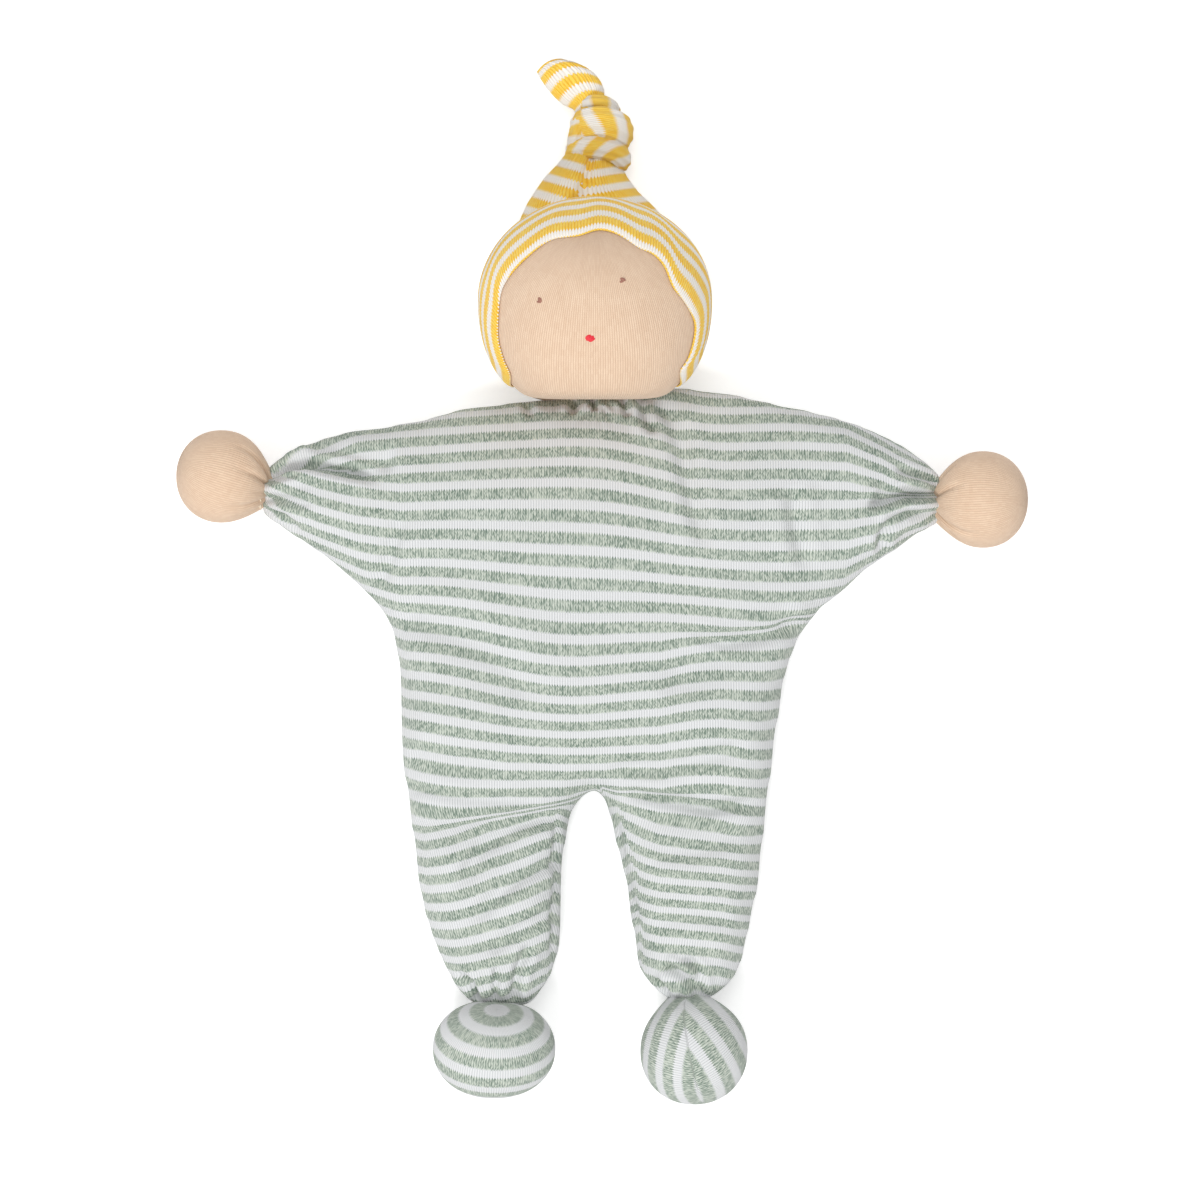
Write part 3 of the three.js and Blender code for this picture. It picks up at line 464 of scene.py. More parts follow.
# Creases on the front: points in plan, depth, width, and the rise of the lip beside it.
CREASES = [
    ([(-98, 28.7), (-90.8, 32.3), (-85, 33.4), (-80.5, 32.6), (-70.8, 30.3), (-62, 29)], 3.2, 1.7, 1.2),
    ([(-95, 28), (-91.7, 28.6), (-85.5, 29.6)], 1.2, 0.9, 0.4),
    ([(-86, 38), (-76, 36), (-66, 33.6), (-58, 34)], 1.9, 3, 0),
    ([(-98, 23), (-90, 22.6), (-82, 20.4)], 1.3, 1.2, 0.5),
    ([(-97.6, 20.4), (-91, 17.6), (-86, 13.6)], 0.9, 1, 0.3),
    ([(-57, 19), (-60.5, 7), (-64, -3)], 1.1, 2, 0.4),
    ([(98, 24.2), (86.7, 24), (79.5, 22.6), (75.5, 20.6)], 3.2, 1.5, 1.1),
    ([(98, 18.6), (86.7, 18.5), (82.6, 16.6), (79.6, 11.7), (80.4, 6.5)], 1.7, 1.3, 0.6),
    ([(97, 26.6), (90, 29.4), (83, 32)], 1.2, 1.2, 0.4),
    ([(84, 26.6), (78, 25)], 1.2, 2.4, 0),
    ([(54, 27), (55.5, 15), (58.5, 2)], 1.2, 2.4, 0.5),
    ([(14, 52), (19.4, 46), (22.2, 39.7), (25.7, 22.6), (31, 4)], 1.7, 2.6, 0.5),
    ([(11.2, 52), (12.2, 46), (15.5, 41)], 1.5, 1.5, 0.6),
    ([(5.6, 52), (7.6, 46)], 1.5, 1.1, 0.5),
    ([(-8, 52), (-8.6, 47)], 1.2, 1.2, 0.4),
    ([(-3, 52), (-2, 48)], 1.3, 0.9, 0.4),
    ([(-22, 51), (-20, 46)], 0.9, 1.2, 0.3),
    ([(-60, -8), (-45, -14), (-31, -21.4), (-18, -37)], 1.8, 5, 0.4),
    ([(58, -8), (44, -14.6), (31, -22), (14, -32)], 1.8, 5, 0.4),
    ([(24, -15), (35, -18.4), (47, -16.4), (60, -11.4)], 1, 1.6, 0.4),
    ([(-57, -50), (-44, -53), (-28, -52.6)], 1.1, 3, 0),
    ([(0, -55), (22, -53), (42, -48)], 1.5, 2.6, 0.3),
    ([(-57, -59), (-40, -62.4), (-14, -64)], 1, 1.6, 0.3),
    ([(47, -64), (30, -65.4), (18, -63), (4, -60)], 1.8, 1.6, 0.5),
    ([(-12, -66.6), (-24, -70), (-34, -76), (-42, -90)], 1.4, 2.2, 0.6),
    ([(-10.7, -79), (-22, -84), (-30, -90), (-38, -99)], 1.2, 2, 0.5),
    ([(-13, -95), (-24, -100), (-33, -107)], 1, 1.6, 0.4),
    ([(-13.4, -66), (-13.6, -90), (-14.5, -110)], 0.8, 0.8, 0.2),
    ([(3.6, -68), (6.6, -84), (10.6, -100)], 0.8, 0.8, 0.2),
    ([(40, -72), (28, -78), (14, -78)], 0.7, 2.6, 0.2),
    ([(38, -98), (26, -95), (14, -99)], 0.7, 2.4, 0.2),
    ([(-20.5, -104), (-23.8, -111), (-25.6, -121)], 1.9, 1.3, 0.6),
    ([(-42, -112), (-37.5, -115.5), (-35.4, -121.4)], 1.8, 1, 0.5),
    ([(-30, -110), (-30.6, -121)], 1.2, 0.9, 0.4),
    ([(16.5, -109.5), (21, -112), (25.5, -115), (27.5, -120)], 1.9, 1.2, 0.8),
    ([(23, -107), (27.5, -111.5), (29, -120)], 1.5, 1.1, 0.5),
    ([(15, -114), (20, -120.6)], 1.3, 1, 0.4),
]
CREASE_SCALE = 1.4
CREASE_FADE, GATHERED_FADE = 0.16, 0.2  # share of its length over which a crease's free end fades
LIP_AWAY, LIP_REACH = 2.1, 1.1  # of the lip, in the crease's own half widths
PLEAT_DEPTH = 1.1
AT_CUFF, AT_COLLAR = 94, 50  # |x| and y past which a crease starts in a gather


def crease(points, normals):
    """How far each point moves along its normal at the creases."""
    front = smoothstep(0.1, 0.6, normals[:, 2])
    moved = np.zeros(len(points))
    for line, depth, width, lip in CREASES:
        line = np.array(line, float)
        gap, along = distance_to(line, points[:, 0], points[:, 1])
        ends = smoothstep(0, CREASE_FADE, along) * smoothstep(1, 1 - CREASE_FADE, along)
        if abs(line[0][0]) > AT_CUFF or line[0][1] > AT_COLLAR:
            from_gather = 0.5 + 0.5 * smoothstep(0, 0.25, along)
            ends = smoothstep(1, 1 - GATHERED_FADE, along) * from_gather
        moved -= CREASE_SCALE * depth * ends * np.exp(-((gap / width) ** 2))
        moved += CREASE_SCALE * lip * ends * np.exp(-(((gap - LIP_AWAY * width) / (LIP_REACH * width)) ** 2))
    return moved * front


def pleat(points, normals):
    """How far each point moves along its normal at the pleats that run out from the gathers."""
    moved = np.zeros(len(points))
    for spot, axis, count, reach in GATHERS.values():
        away = points - np.array(spot)
        along = away[:, 0] * axis[0] + away[:, 1] * axis[1]
        across = away[:, 0] * axis[1] - away[:, 1] * axis[0]
        far = np.linalg.norm(away, axis=1)
        if spot[1] > AT_COLLAR:
            turn = np.arctan2(away[:, 0], -away[:, 1])
            wave = np.cos(turn * count + 1.3 * np.sin(3 * turn))
        else:
            turn = np.arctan2(away[:, 2], across)
            wave = np.cos(turn * count + 0.9 * np.sin(2 * turn + spot[0]))
        fade = np.clip(1 - far / reach, 0, 1) ** 1.3 * np.clip(far / 4, 0, 1)
        end_face = np.abs(normals[:, 0] * axis[0] + normals[:, 1] * axis[1])
        fade = fade * smoothstep(0.8, 0.4, end_face)
        moved += PLEAT_DEPTH * fade * wave
    return moved


points = points_of(romper.data)
normals = normals_of(romper.data)
points += normals * (crease(points, normals) + pleat(points, normals))[:, None]
set_points(romper.data, rest_on_table(points, CREASES_GIVE))


def corners_of(mesh):
    """The point at each corner of each face, and the face that the corner is in."""
    corner = np.empty(len(mesh.loops), np.int32)
    mesh.loops.foreach_get("vertex_index", corner)
    total = np.empty(len(mesh.polygons), np.int32)
    mesh.polygons.foreach_get("loop_total", total)
    return corner, np.repeat(np.arange(len(total)), total)


def write_map(mesh, across, down):
    """The mesh's one UV map, in millimetres of knit at each corner: across ribs, down courses."""
    while mesh.uv_layers:
        mesh.uv_layers.remove(mesh.uv_layers[0])
    layer = mesh.uv_layers.new(name="knit")
    layer.data.foreach_set("uv", np.stack([across, down], 1).astype(np.float32).ravel())


corner, _ = corners_of(romper.data)
write_map(romper.data, *kept_points(romper.data, "knit")[corner, :2].T)


# The knit's finish. Maths on a material's sockets is written as expressions.
class Wire:
    def __init__(self, finish, socket):
        self.finish, self.socket = finish, socket

    def math(self, operation, *values):
        return self.finish.node("ShaderNodeMath", {"operation": operation}, *values)

    def __add__(self, other):
        return self.math("ADD", self, other)

    def __sub__(self, other):
        return self.math("SUBTRACT", self, other)

    def __mul__(self, other):
        return self.math("MULTIPLY", self, other)

    def __truediv__(self, other):
        return self.math("DIVIDE", self, other)

    def __rsub__(self, other):
        return self.math("SUBTRACT", other, self)

    def __lt__(self, other):
        return self.math("LESS_THAN", self, other)

    __radd__, __rmul__ = __add__, __mul__

    def call(self, operation, *values):
        return self.math(operation, self, *values)


class Finish:
    """A material made of nodes, with its shader."""

    def __init__(self, name, **constants):
        self.material = bpy.data.materials.new(name)
        self.material.use_nodes = True
        self.tree = self.material.node_tree
        self.shader = self.tree.nodes["Principled BSDF"]
        for key, value in constants.items():
            self.shader.inputs[key.replace("_", " ")].default_value = value

    def node(self, kind, settings=None, *values, out=0, **named):
        made = self.tree.nodes.new(kind)
        for key, value in (settings or {}).items():
            setattr(made, key, value)
        for key, value in [*enumerate(values), *named.items()]:
            target = made.inputs[key.replace("_", " ") if isinstance(key, str) else key]
            if isinstance(value, Wire):
                self.tree.links.new(value.socket, target)
            elif value is not None:
                target.default_value = value
        return Wire(self, made.outputs[out])

    def feed(self, name, wire):
        self.tree.links.new(wire.socket, self.shader.inputs[name])

    def mix(self, share, first, second, blend="MIX"):
        wire = self.node("ShaderNodeMix", {"data_type": "RGBA", "blend_type": blend}, share, out=2)
        node = wire.socket.node
        for target, value in ((node.inputs[6], first), (node.inputs[7], second)):
            if isinstance(value, Wire):
                self.tree.links.new(value.socket, target)
            else:
                target.default_value = value
        return wire


def srgb(red, green, blue):
    """A colour as it is seen, 0 to 255, turned into the light values that a shader takes."""
    def light(value):
        value /= 255
        return value / 12.92 if value <= 0.04045 else ((value + 0.055) / 1.055) ** 2.4
    return (light(red), light(green), light(blue), 1.0)


def striped_knit(name, rib, rows, coloured_rows, pitch, dark, pale, plain, deep, slant, fleck, rise):
    """A rib knit whose colour changes between rows of stitches, coloured where the map's v is 0. The deep
    colour is painted shade in the grooves between its ribs and rows.
    """
    finish = Finish(name, Roughness=0.92, Sheen_Weight=0.2, Sheen_Roughness=0.6, Specular_IOR_Level=0.2)
    place = finish.node("ShaderNodeUVMap", {"uv_map": "knit"})
    across = finish.node("ShaderNodeSeparateXYZ", None, place)
    down = Wire(finish, across.socket.node.outputs[1])
    leg = ((across / rib).call("FRACT") - 0.5).call("ABSOLUTE") * 2
    row_height = pitch / rows
    row = (down + leg * slant) / row_height + (coloured_rows / 2 - slant / 2 / row_height)
    number = row.call("FLOOR")
    in_stripe = (number / rows).call("FRACT") * rows
    coloured = in_stripe < coloured_rows - 0.5
    cell = finish.node("ShaderNodeCombineXYZ", None, (across / rib * 2).call("FLOOR"), number)
    chance = finish.node("ShaderNodeTexWhiteNoise", {"noise_dimensions": "2D"}, Vector=cell)
    cloud = finish.node(
        "ShaderNodeTexNoise", {"noise_dimensions": "2D"}, Vector=place, Scale=0.12, Detail=3.0
    )
    # the heather is darker towards each rib's edge: painted shade in the grooves between ribs
    tone = (chance - 0.5) * fleck + (cloud - 0.5) * 0.6 + 0.72 - leg * leg * 0.5
    heather = finish.mix(tone.call("MAXIMUM", 0).call("MINIMUM", 1), dark, pale)
    colour = finish.mix(coloured, plain, heather)
    strand = 1 - leg.call("POWER", 2.5)
    loop = (row.call("FRACT") * math.pi).call("SINE")
    relief = strand * (loop * 0.3 + 0.7)
    # the colour is multiplied down towards the deep colour in the grooves between ribs and between rows:
    # painted shade
    shaded = finish.mix(1.0, colour, finish.mix(relief.call("POWER", 0.7), deep, (1, 1, 1, 1)), "MULTIPLY")
    finish.feed("Base Color", shaded)
    bump = finish.node("ShaderNodeBump", None, Strength=0.6, Distance=rise, Height=relief)
    finish.feed("Normal", bump)
    return finish.material


# deep is the painted shade in the grooves between the ribs and rows
sage_knit = striped_knit(
    "sage striped knit", rib=0.75, rows=11, coloured_rows=6, pitch=STRIPE_PITCH,
    dark=srgb(121, 139, 126), pale=srgb(205, 212, 200), plain=srgb(227, 228, 229), deep=srgb(212, 215, 215),
    slant=0.7, fleck=1.1, rise=0.0003,
)

# The romper is parted where the limbs fold.
SLEEVE_CUT, HIP_CUT = 56.5, -61.4
SLEEVE_BEND, HIP_BEND = (56.5, 72), (-61.7, -84)
SHIFT = -2.08  # from the frame's origin to the trunk's middle
BETWEEN_LEGS = -3


def part_at(piece, planes):
    """Cuts the piece's faces where the planes cross them."""
    bm = bmesh.new()
    bm.from_mesh(piece.data)
    for point, normal in planes:
        everything = bm.verts[:] + bm.edges[:] + bm.faces[:]
        bmesh.ops.bisect_plane(
            bm, geom=everything, dist=1e-7, plane_co=Vector(point) * MM, plane_no=normal
        )
    bm.to_mesh(piece.data)
    bm.free()


def faces_where(piece, name, test):
    """A copy of the piece with only the faces whose middle passes the test."""
    copy = piece.copy()
    copy.data = piece.data.copy()
    copy.name = copy.data.name = name
    bpy.context.scene.collection.objects.link(copy)
    bm = bmesh.new()
    bm.from_mesh(copy.data)
    gone = [f for f in bm.faces if not test(f.calc_center_median() / MM)]
    bmesh.ops.delete(bm, geom=gone, context="FACES")
    bm.to_mesh(copy.data)
    bm.free()
    return copy


def dress(piece, material):
    """Smooths the piece and gives it its finish."""
    piece.data.shade_smooth()
    piece.data.materials.append(material)


part_at(romper, [
    ((SHIFT + SLEEVE_CUT, 0, 0), (1, 0, 0)),
    ((SHIFT - SLEEVE_CUT, 0, 0), (1, 0, 0)),
    ((0, HIP_CUT, 0), (0, 1, 0)),
])
romper_parts = {
    "romper_trunk": lambda c: abs(c.x - SHIFT) < SLEEVE_CUT and c.y > HIP_CUT,
    "left_sleeve": lambda c: c.x - SHIFT > SLEEVE_CUT,
    "right_sleeve": lambda c: c.x - SHIFT < -SLEEVE_CUT,
    "left_leg_cover": lambda c: abs(c.x - SHIFT) < SLEEVE_CUT and c.y < HIP_CUT and c.x > BETWEEN_LEGS,
    "right_leg_cover": lambda c: abs(c.x - SHIFT) < SLEEVE_CUT and c.y < HIP_CUT and c.x <= BETWEEN_LEGS,
}
for name, test in romper_parts.items():
    part = faces_where(romper, name, test)
    dress(part, sage_knit)
bpy.data.objects.remove(romper)

trunk = bpy.data.objects["romper_trunk"]
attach(trunk, "torso")
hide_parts("torso_front", "torso_back", "torso_batting")
for side, way in (("left", 1), ("right", -1)):
    sleeve = bpy.data.objects[side + "_sleeve"]
    low, high = ((SHIFT + way * reach) * MM for reach in SLEEVE_BEND)
    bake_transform(sleeve)
    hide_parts(side + "_arm_front", side + "_arm_back", side + "_arm_batting")
    leg = bpy.data.objects[side + "_leg_cover"]
    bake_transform(leg)
    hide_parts(side + "_leg_front", side + "_leg_back", side + "_leg_batting")


# Hands
# A ball of carded wool in skin tricot, tied into the end of each sleeve. The tricot is drawn
# together at the tie, from which short creases run out over the ball.

HANDS = {  # middle of the ball, its half sizes, where it is tied, half width and height there
    "left": ((108.9, 22.7, 12.5), (12.8, 13.8, 12.4), (94.6, 22.2, 9.8), 4.6, 3.0),
    "right": ((-108.9, 29.3, 12.4), (12.9, 13.2, 12.3), (-95.2, 25.4, 9.8), 4.4, 3.0),
}
HAND_CREASES = {  # turn round the tie in degrees, depth, half width in mm, how far along the taper
    "left": [
        (110, 2.7, 0.8, 1.2), (44, 2.7, 0.9, 1.5), (20, 1.5, 0.8, 1.2), (78, 1.2, 0.6, 0.9),
        (150, 1.2, 0.8, 1),
    ],
    "right": [
        (74, 2.6, 0.8, 1.4), (44, 2.6, 0.8, 1.5), (126, 2.1, 0.8, 1.3), (100, 1, 0.6, 0.8),
        (152, 1.2, 0.8, 1),
    ],
}
HAND_LEAN = {"left": -4, "right": 6}  # degrees that the sleeve's end turns it out of line
HAND_TAPER = 62  # degrees from the tie's pole where the taper meets the ball
HAND_SKIN = 46  # how long the skin is from the tie to the far side


def read_ball(piece):
    """Polar angle and turn of every point of a unit ball, whose pole is +Z."""
    way = points_of(piece.data) * MM
    way /= np.linalg.norm(way, axis=1)[:, None]
    return np.arccos(np.clip(way[:, 2], -1, 1)), np.arctan2(way[:, 1], way[:, 0]) % (2 * math.pi)


def run_on(value, face, whole):
    """Keeps a value that counts round to the whole from dropping to zero within a face."""
    furthest = np.zeros(face[-1] + 1)
    np.maximum.at(furthest, face, value)
    return np.where(furthest[face] - value > whole / 2, value + whole, value)


def map_ball(piece, polar, turn, radius, down_of):
    """The knit's map on a piece made from a ball. A pole has the turn of its face's other corners."""
    corner, face = corners_of(piece.data)
    pole = (polar[corner] < 1e-4) | (polar[corner] > math.pi - 1e-4)
    turned = run_on(np.where(pole, 0, turn[corner]), face, 2 * math.pi)
    others = np.bincount(face, np.where(pole, 0, turned)) / np.maximum(np.bincount(face, ~pole), 1)
    turned = np.where(pole, others[face], turned)
    down = down_of(polar[corner]) if callable(down_of) else down_of[corner]
    write_map(piece.data, turned * radius, down)


def ball_piece(name, segments, rings):
    bpy.ops.object.select_all(action="DESELECT")
    bpy.ops.mesh.primitive_uv_sphere_add(segments=segments, ring_count=rings, radius=1, calc_uvs=False)
    piece = bpy.context.active_object
    piece.name = piece.data.name = name
    return piece


def axes_for(pole):
    """Two directions square to a pole: one that stays level, and one that rises."""
    pole = np.array(pole, float) / np.linalg.norm(pole)
    level = np.cross((0, 0, 1), pole)
    level /= np.linalg.norm(level)
    return pole, level, np.cross(pole, level)


NECK_SHARE, TAPER_SHARE = 0.05, 0.36  # of the ball's rings: the neck in the tie, then the taper
NECK_DEEP = 3.0  # how far the neck's closed end goes into the sleeve
NECK_PLEATS, NECK_PLEAT_SHARE = 9, 0.09


def swollen(way, halves, fullness):
    """The surface of a stuffed ball, a little squarer in plan than an ellipse."""
    over, under = np.broadcast_to(fullness, 2)
    power = np.where(way[:, 1] > 0, over, under)
    plan = np.hypot(way[:, 0], way[:, 1])
    corner = (np.abs(way[:, 0]) ** power + np.abs(way[:, 1]) ** power) / np.maximum(plan, 1e-6) ** power
    swell = 1 + plan**2 * (np.maximum(corner, 1e-6) ** (-1 / power) - 1)
    return way * np.array(halves) * swell[:, None]


def gathered_ball(
    piece, centre, halves, ring, wide, high, taper, fullness=2.1, creases=(), lean=0, surface=swollen
):
    """Shapes a unit ball as a wool ball in its skin, which tapers to the ring where it is tied."""
    polar, turn = read_ball(piece)
    centre, ring = np.array(centre, float), np.array(ring, float)
    pole, level, rise = axes_for(ring - centre)
    out_of = np.array([math.cos(lean) * pole[0] - math.sin(lean) * pole[1],
                       math.sin(lean) * pole[0] + math.cos(lean) * pole[1], 0])
    _, beside, up = axes_for(out_of)
    around = np.cos(turn)[:, None] * level + np.sin(turn)[:, None] * rise
    start, end = NECK_SHARE * math.pi, TAPER_SHARE * math.pi

    def ball(reach):
        way = np.cos(reach)[:, None] * pole + np.sin(reach)[:, None] * around
        return centre + surface(way, halves, fullness)

    first = math.radians(taper)
    reach = first + np.clip((polar - end) / (math.pi - end), 0, 1) * (math.pi - first)
    on_ball = ball(reach)
    share = np.clip((polar - start) / (end - start), 0, 1)
    wave = np.cos(NECK_PLEATS * turn + 0.8 * np.sin(2 * turn))
    pleats = 1 + NECK_PLEAT_SHARE * wave * (1 - share) ** 1.5
    rim = np.cos(turn)[:, None] * wide * beside + np.sin(turn)[:, None] * high * up
    neck = np.clip(polar / start, 0, 1)
    into = np.outer(NECK_DEEP * (1 - neck), out_of / np.linalg.norm(out_of))
    at_ring = ring + rim * (pleats * neck**0.6)[:, None] + into
    meet = ball(np.full(len(turn), first))
    way_on = ball(np.full(len(turn), first + 0.02)) - meet
    way_on /= np.linalg.norm(way_on, axis=1)[:, None]
    far = np.linalg.norm(meet - at_ring, axis=1)[:, None]
    control = meet - way_on * far * 0.4
    s = share[:, None]
    tapered = (1 - s) ** 2 * at_ring + 2 * s * (1 - s) * control + s**2 * meet
    points = np.where((polar < end)[:, None], tapered, on_ball)
    radius = np.maximum(np.linalg.norm(np.cross(points - ring, pole), axis=1), 1)
    for where, depth, width, along in creases:
        off = np.abs((turn - math.radians(where) + math.pi) % (2 * math.pi) - math.pi) * radius
        reached = share + np.clip((polar - end) / (math.pi - end), 0, 1) * 2
        fade = np.clip(1 - reached / along, 0, 1) ** 0.8 * smoothstep(0.5, 1, neck)
        points = points - around * (depth * fade * np.exp(-((off / width) ** 2)))[:, None]
    points[:, 2] = np.maximum(points[:, 2], ABOVE_TABLE)
    set_points(piece.data, points)
    return polar, turn


def skin_down(length):
    """How far down its courses a gathered ball's skin has come, by polar angle."""
    angles = [0, NECK_SHARE * math.pi, TAPER_SHARE * math.pi, math.pi]
    return lambda polar: np.interp(polar, angles, [-NECK_DEEP, 0, 0.28 * length, length])


def plain_knit(name, rib, row, dark, pale, deep, fleck):
    """A knit of one colour, seen as fine ribs of stitches, with the deep colour painted as shade in the
    grooves between them.
    """
    finish = Finish(name, Roughness=0.88, Sheen_Weight=0.2, Sheen_Roughness=0.5, Specular_IOR_Level=0.2)
    place = finish.node("ShaderNodeUVMap", {"uv_map": "knit"})
    across = finish.node("ShaderNodeSeparateXYZ", None, place)
    down = Wire(finish, across.socket.node.outputs[1])
    leg = ((across / rib).call("FRACT") - 0.5).call("ABSOLUTE") * 2
    course = (down + leg * 0.5 * rib) / row
    cell = finish.node(
        "ShaderNodeCombineXYZ", None, (across / rib).call("FLOOR"), (course / 3).call("FLOOR")
    )
    chance = finish.node("ShaderNodeTexWhiteNoise", {"noise_dimensions": "2D"}, Vector=cell)
    cloud = finish.node(
        "ShaderNodeTexNoise", {"noise_dimensions": "2D"}, Vector=place, Scale=0.14, Detail=4.0
    )
    tone = (chance - 0.5) * fleck + (cloud - 0.5) * 0.8 + 0.5
    colour = finish.mix(tone.call("MAXIMUM", 0).call("MINIMUM", 1), dark, pale)
    relief = (1 - leg.call("POWER", 2)) * ((course.call("FRACT") * math.pi).call("SINE") * 0.4 + 0.6)
    # the colour is mixed towards the deep colour in the grooves between ribs and courses: painted shade
    finish.feed("Base Color", finish.mix(relief * 0.8 + 0.2, deep, colour))
    finish.feed("Normal", finish.node(
        "ShaderNodeBump", None, Strength=0.6, Distance=0.00025, Height=relief))
    return finish.material


# deep is the painted shade in the grooves between the ribs and courses
skin_tricot = plain_knit(
    "skin tricot", rib=0.7, row=0.5, dark=srgb(227, 197, 170), pale=srgb(240, 214, 188),
    deep=srgb(208, 176, 148), fleck=0.6,
)

for side, (centre, halves, ring, wide, high) in HANDS.items():
    hand = ball_piece(side + "_hand", 144, 96)
    polar, turn = gathered_ball(
        hand, centre, halves, ring, wide, high, HAND_TAPER, creases=HAND_CREASES[side],
        lean=math.radians(HAND_LEAN[side]),
    )
    map_ball(hand, polar, turn, halves[1], skin_down(HAND_SKIN))
    dress(hand, skin_tricot)
    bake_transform(hand)
    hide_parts(side + "_hand_skin", side + "_hand_core")


# Feet
# A ball of carded wool in the romper's striped knit, tied into the end of each leg. On the
# right foot the stripes lie in rings round the top, on the left the cloth meets in a seam.

FEET = {  # middle of the ball, its half sizes, where it is tied, half width and height there
    "left": ((26.2, -134.9, 14.8), (15.3, 15.2, 15.0), (23.6, -119, 10.6), 4.6, 3.6),
    "right": ((-30.9, -134.2, 14.8), (17.5, 14.2, 15.0), (-30.2, -121, 10.8), 5.6, 3.8),
}
FOOT_TAPER = {"left": 56, "right": 44}
FOOT_CREASES = {
    "left": [(70, 1, 0.8, 0.7), (110, 1, 0.8, 0.7)],
    "right": [(100, 1.2, 0.8, 0.8), (64, 1, 0.8, 0.7), (140, 1, 0.9, 0.7)],
}
# The courses of each foot's cover lie in planes: a pole, then the stripe number at the ball's
# middle and its change to the pole. The left foot's cover has two, which meet in a seam.
FOOT_COURSES = {
    "left": [((-2.236, 0.582, -1.111), 1.976), ((1.851, 1.325, -0.482), 1.805)],
    "right": [((0.05, 0.82, 0.57), 0)],
}
RING_FIRST, RING_EACH = -6.7, 25.6  # degrees from the right foot's pole to its rings


def lay_courses(piece, centre, halves, planes):
    """The knit's map on a ball, with its courses in planes or in rings round a pole."""
    corner, _ = corners_of(piece.data)
    way = (points_of(piece.data)[corner] - np.array(centre)) / np.array(halves)
    way /= np.linalg.norm(way, axis=1)[:, None]
    across, number = np.zeros(len(way)), np.full(len(way), -1e9)
    for pole, first in planes:
        length = np.linalg.norm(pole)
        pole, level, rise = axes_for(pole)
        if len(planes) == 1:
            here = (np.degrees(np.arccos(np.clip(way @ pole, -1, 1))) - RING_FIRST) / RING_EACH
        else:
            here = first + length * (way @ pole)
        nearer = here > number
        turn = np.arctan2(way @ rise, way @ level)
        across = np.where(nearer, turn * halves[0], across)
        number = np.maximum(here, number)
    write_map(piece.data, across, number * STRIPE_PITCH)


for side, (centre, halves, ring, wide, high) in FEET.items():
    foot = ball_piece(side + "_foot", 160, 120)
    gathered_ball(foot, centre, halves, ring, wide, high, FOOT_TAPER[side], creases=FOOT_CREASES[side])
    lay_courses(foot, centre, halves, FOOT_COURSES[side])
    dress(foot, sage_knit)
    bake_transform(foot)
    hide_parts(side + "_foot_cover", side + "_foot_core")


# Head
# A firm ball of carded wool in skin tricot, whose ribs run up from the neck over the chin and
# the face. It is tied into the romper's collar.

HEAD_CENTRE = (-2.08, 79.1, 29.3)
HEAD_HALVES = (31.8, 28.0, 28.3)
HEAD_FULLNESS = (2.0, 2.25)  # over and under its middle
CHIN_HALF = 33  # its half size towards the neck, before the collar presses the chin flat
CHIN_PRESSED, CHIN_REACH = -25, 3.2  # from where the collar presses, and how far it gives at most
HEAD_RING = (-2.08, 52, 8.6)  # where the neck is tied, inside the collar
HEAD_RING_WIDE, HEAD_RING_HIGH, HEAD_TAPER = 17.5, 2.2, 34
HEAD_SKIN = 92
HEAD_CREASES = [(90, 0.8, 1.2, 0.6), (60, 0.7, 1.2, 0.6), (122, 0.7, 1.2, 0.6)]


def head_surface(way, halves, fullness):
    """The wound ball runs longer towards the neck, and its chin is pressed flat on the collar."""
    across, _, high = halves
    skin = swollen(way, np.where(way[:, 1:2] > 0, halves, (across, CHIN_HALF, high)), fullness)
    past = np.maximum(CHIN_PRESSED - skin[:, 1], 0)
    skin[:, 1] = np.maximum(skin[:, 1], CHIN_PRESSED) - CHIN_REACH * np.tanh(past / CHIN_REACH)
    return skin


head = ball_piece("head_ball", 176, 132)
polar, turn = gathered_ball(
    head, HEAD_CENTRE, HEAD_HALVES, HEAD_RING, HEAD_RING_WIDE, HEAD_RING_HIGH, HEAD_TAPER,
    HEAD_FULLNESS, HEAD_CREASES, surface=head_surface,
)
map_ball(head, polar, turn, HEAD_HALVES[0], skin_down(HEAD_SKIN))
dress(head, skin_tricot)
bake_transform(head)
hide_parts("head_skin", "head_core")


# Eyes and mouth
# A few stitches of embroidery thread each, pulled through the skin and sewn off.

EYES = {"left": (5.4, 84.0), "right": (-17.6, 78.0)}
EYE_STITCHES = [  # from the eye's middle, half length, half width and turn of each stitch
    (0.1, 0.2, 0.85, 0.5, 35), (-0.15, -0.35, 0.75, 0.36, 80),
]
MOUTH = (-3.5, 67.6)
MOUTH_STITCHES = [(-0.5, 0.42, 1.0, 0.5, 42), (0, 0.02, 1.3, 0.55, 35), (0.5, -0.42, 1.05, 0.5, 30)]


def on_head(way, grow):
    """A point over the head's skin in a direction from its middle."""
    way = way / np.linalg.norm(way, axis=-1, keepdims=True)
    flat_way = way.reshape(-1, 3)
    skin = head_surface(flat_way, HEAD_HALVES, HEAD_FULLNESS).reshape(way.shape)
    return np.array(HEAD_CENTRE) + skin + way * grow


def way_through(x, y, grow):
    """The direction from the head's middle that comes out at a place seen from above."""
    heights = np.linspace(30, 0, 400)
    ways = np.stack([np.full_like(heights, x), np.full_like(heights, y), heights], 1)
    seen = on_head(ways, grow)[:, :2] - np.array(HEAD_CENTRE)[:2]
    return ways[np.argmin(np.hypot(*(seen - (x, y)).T))]


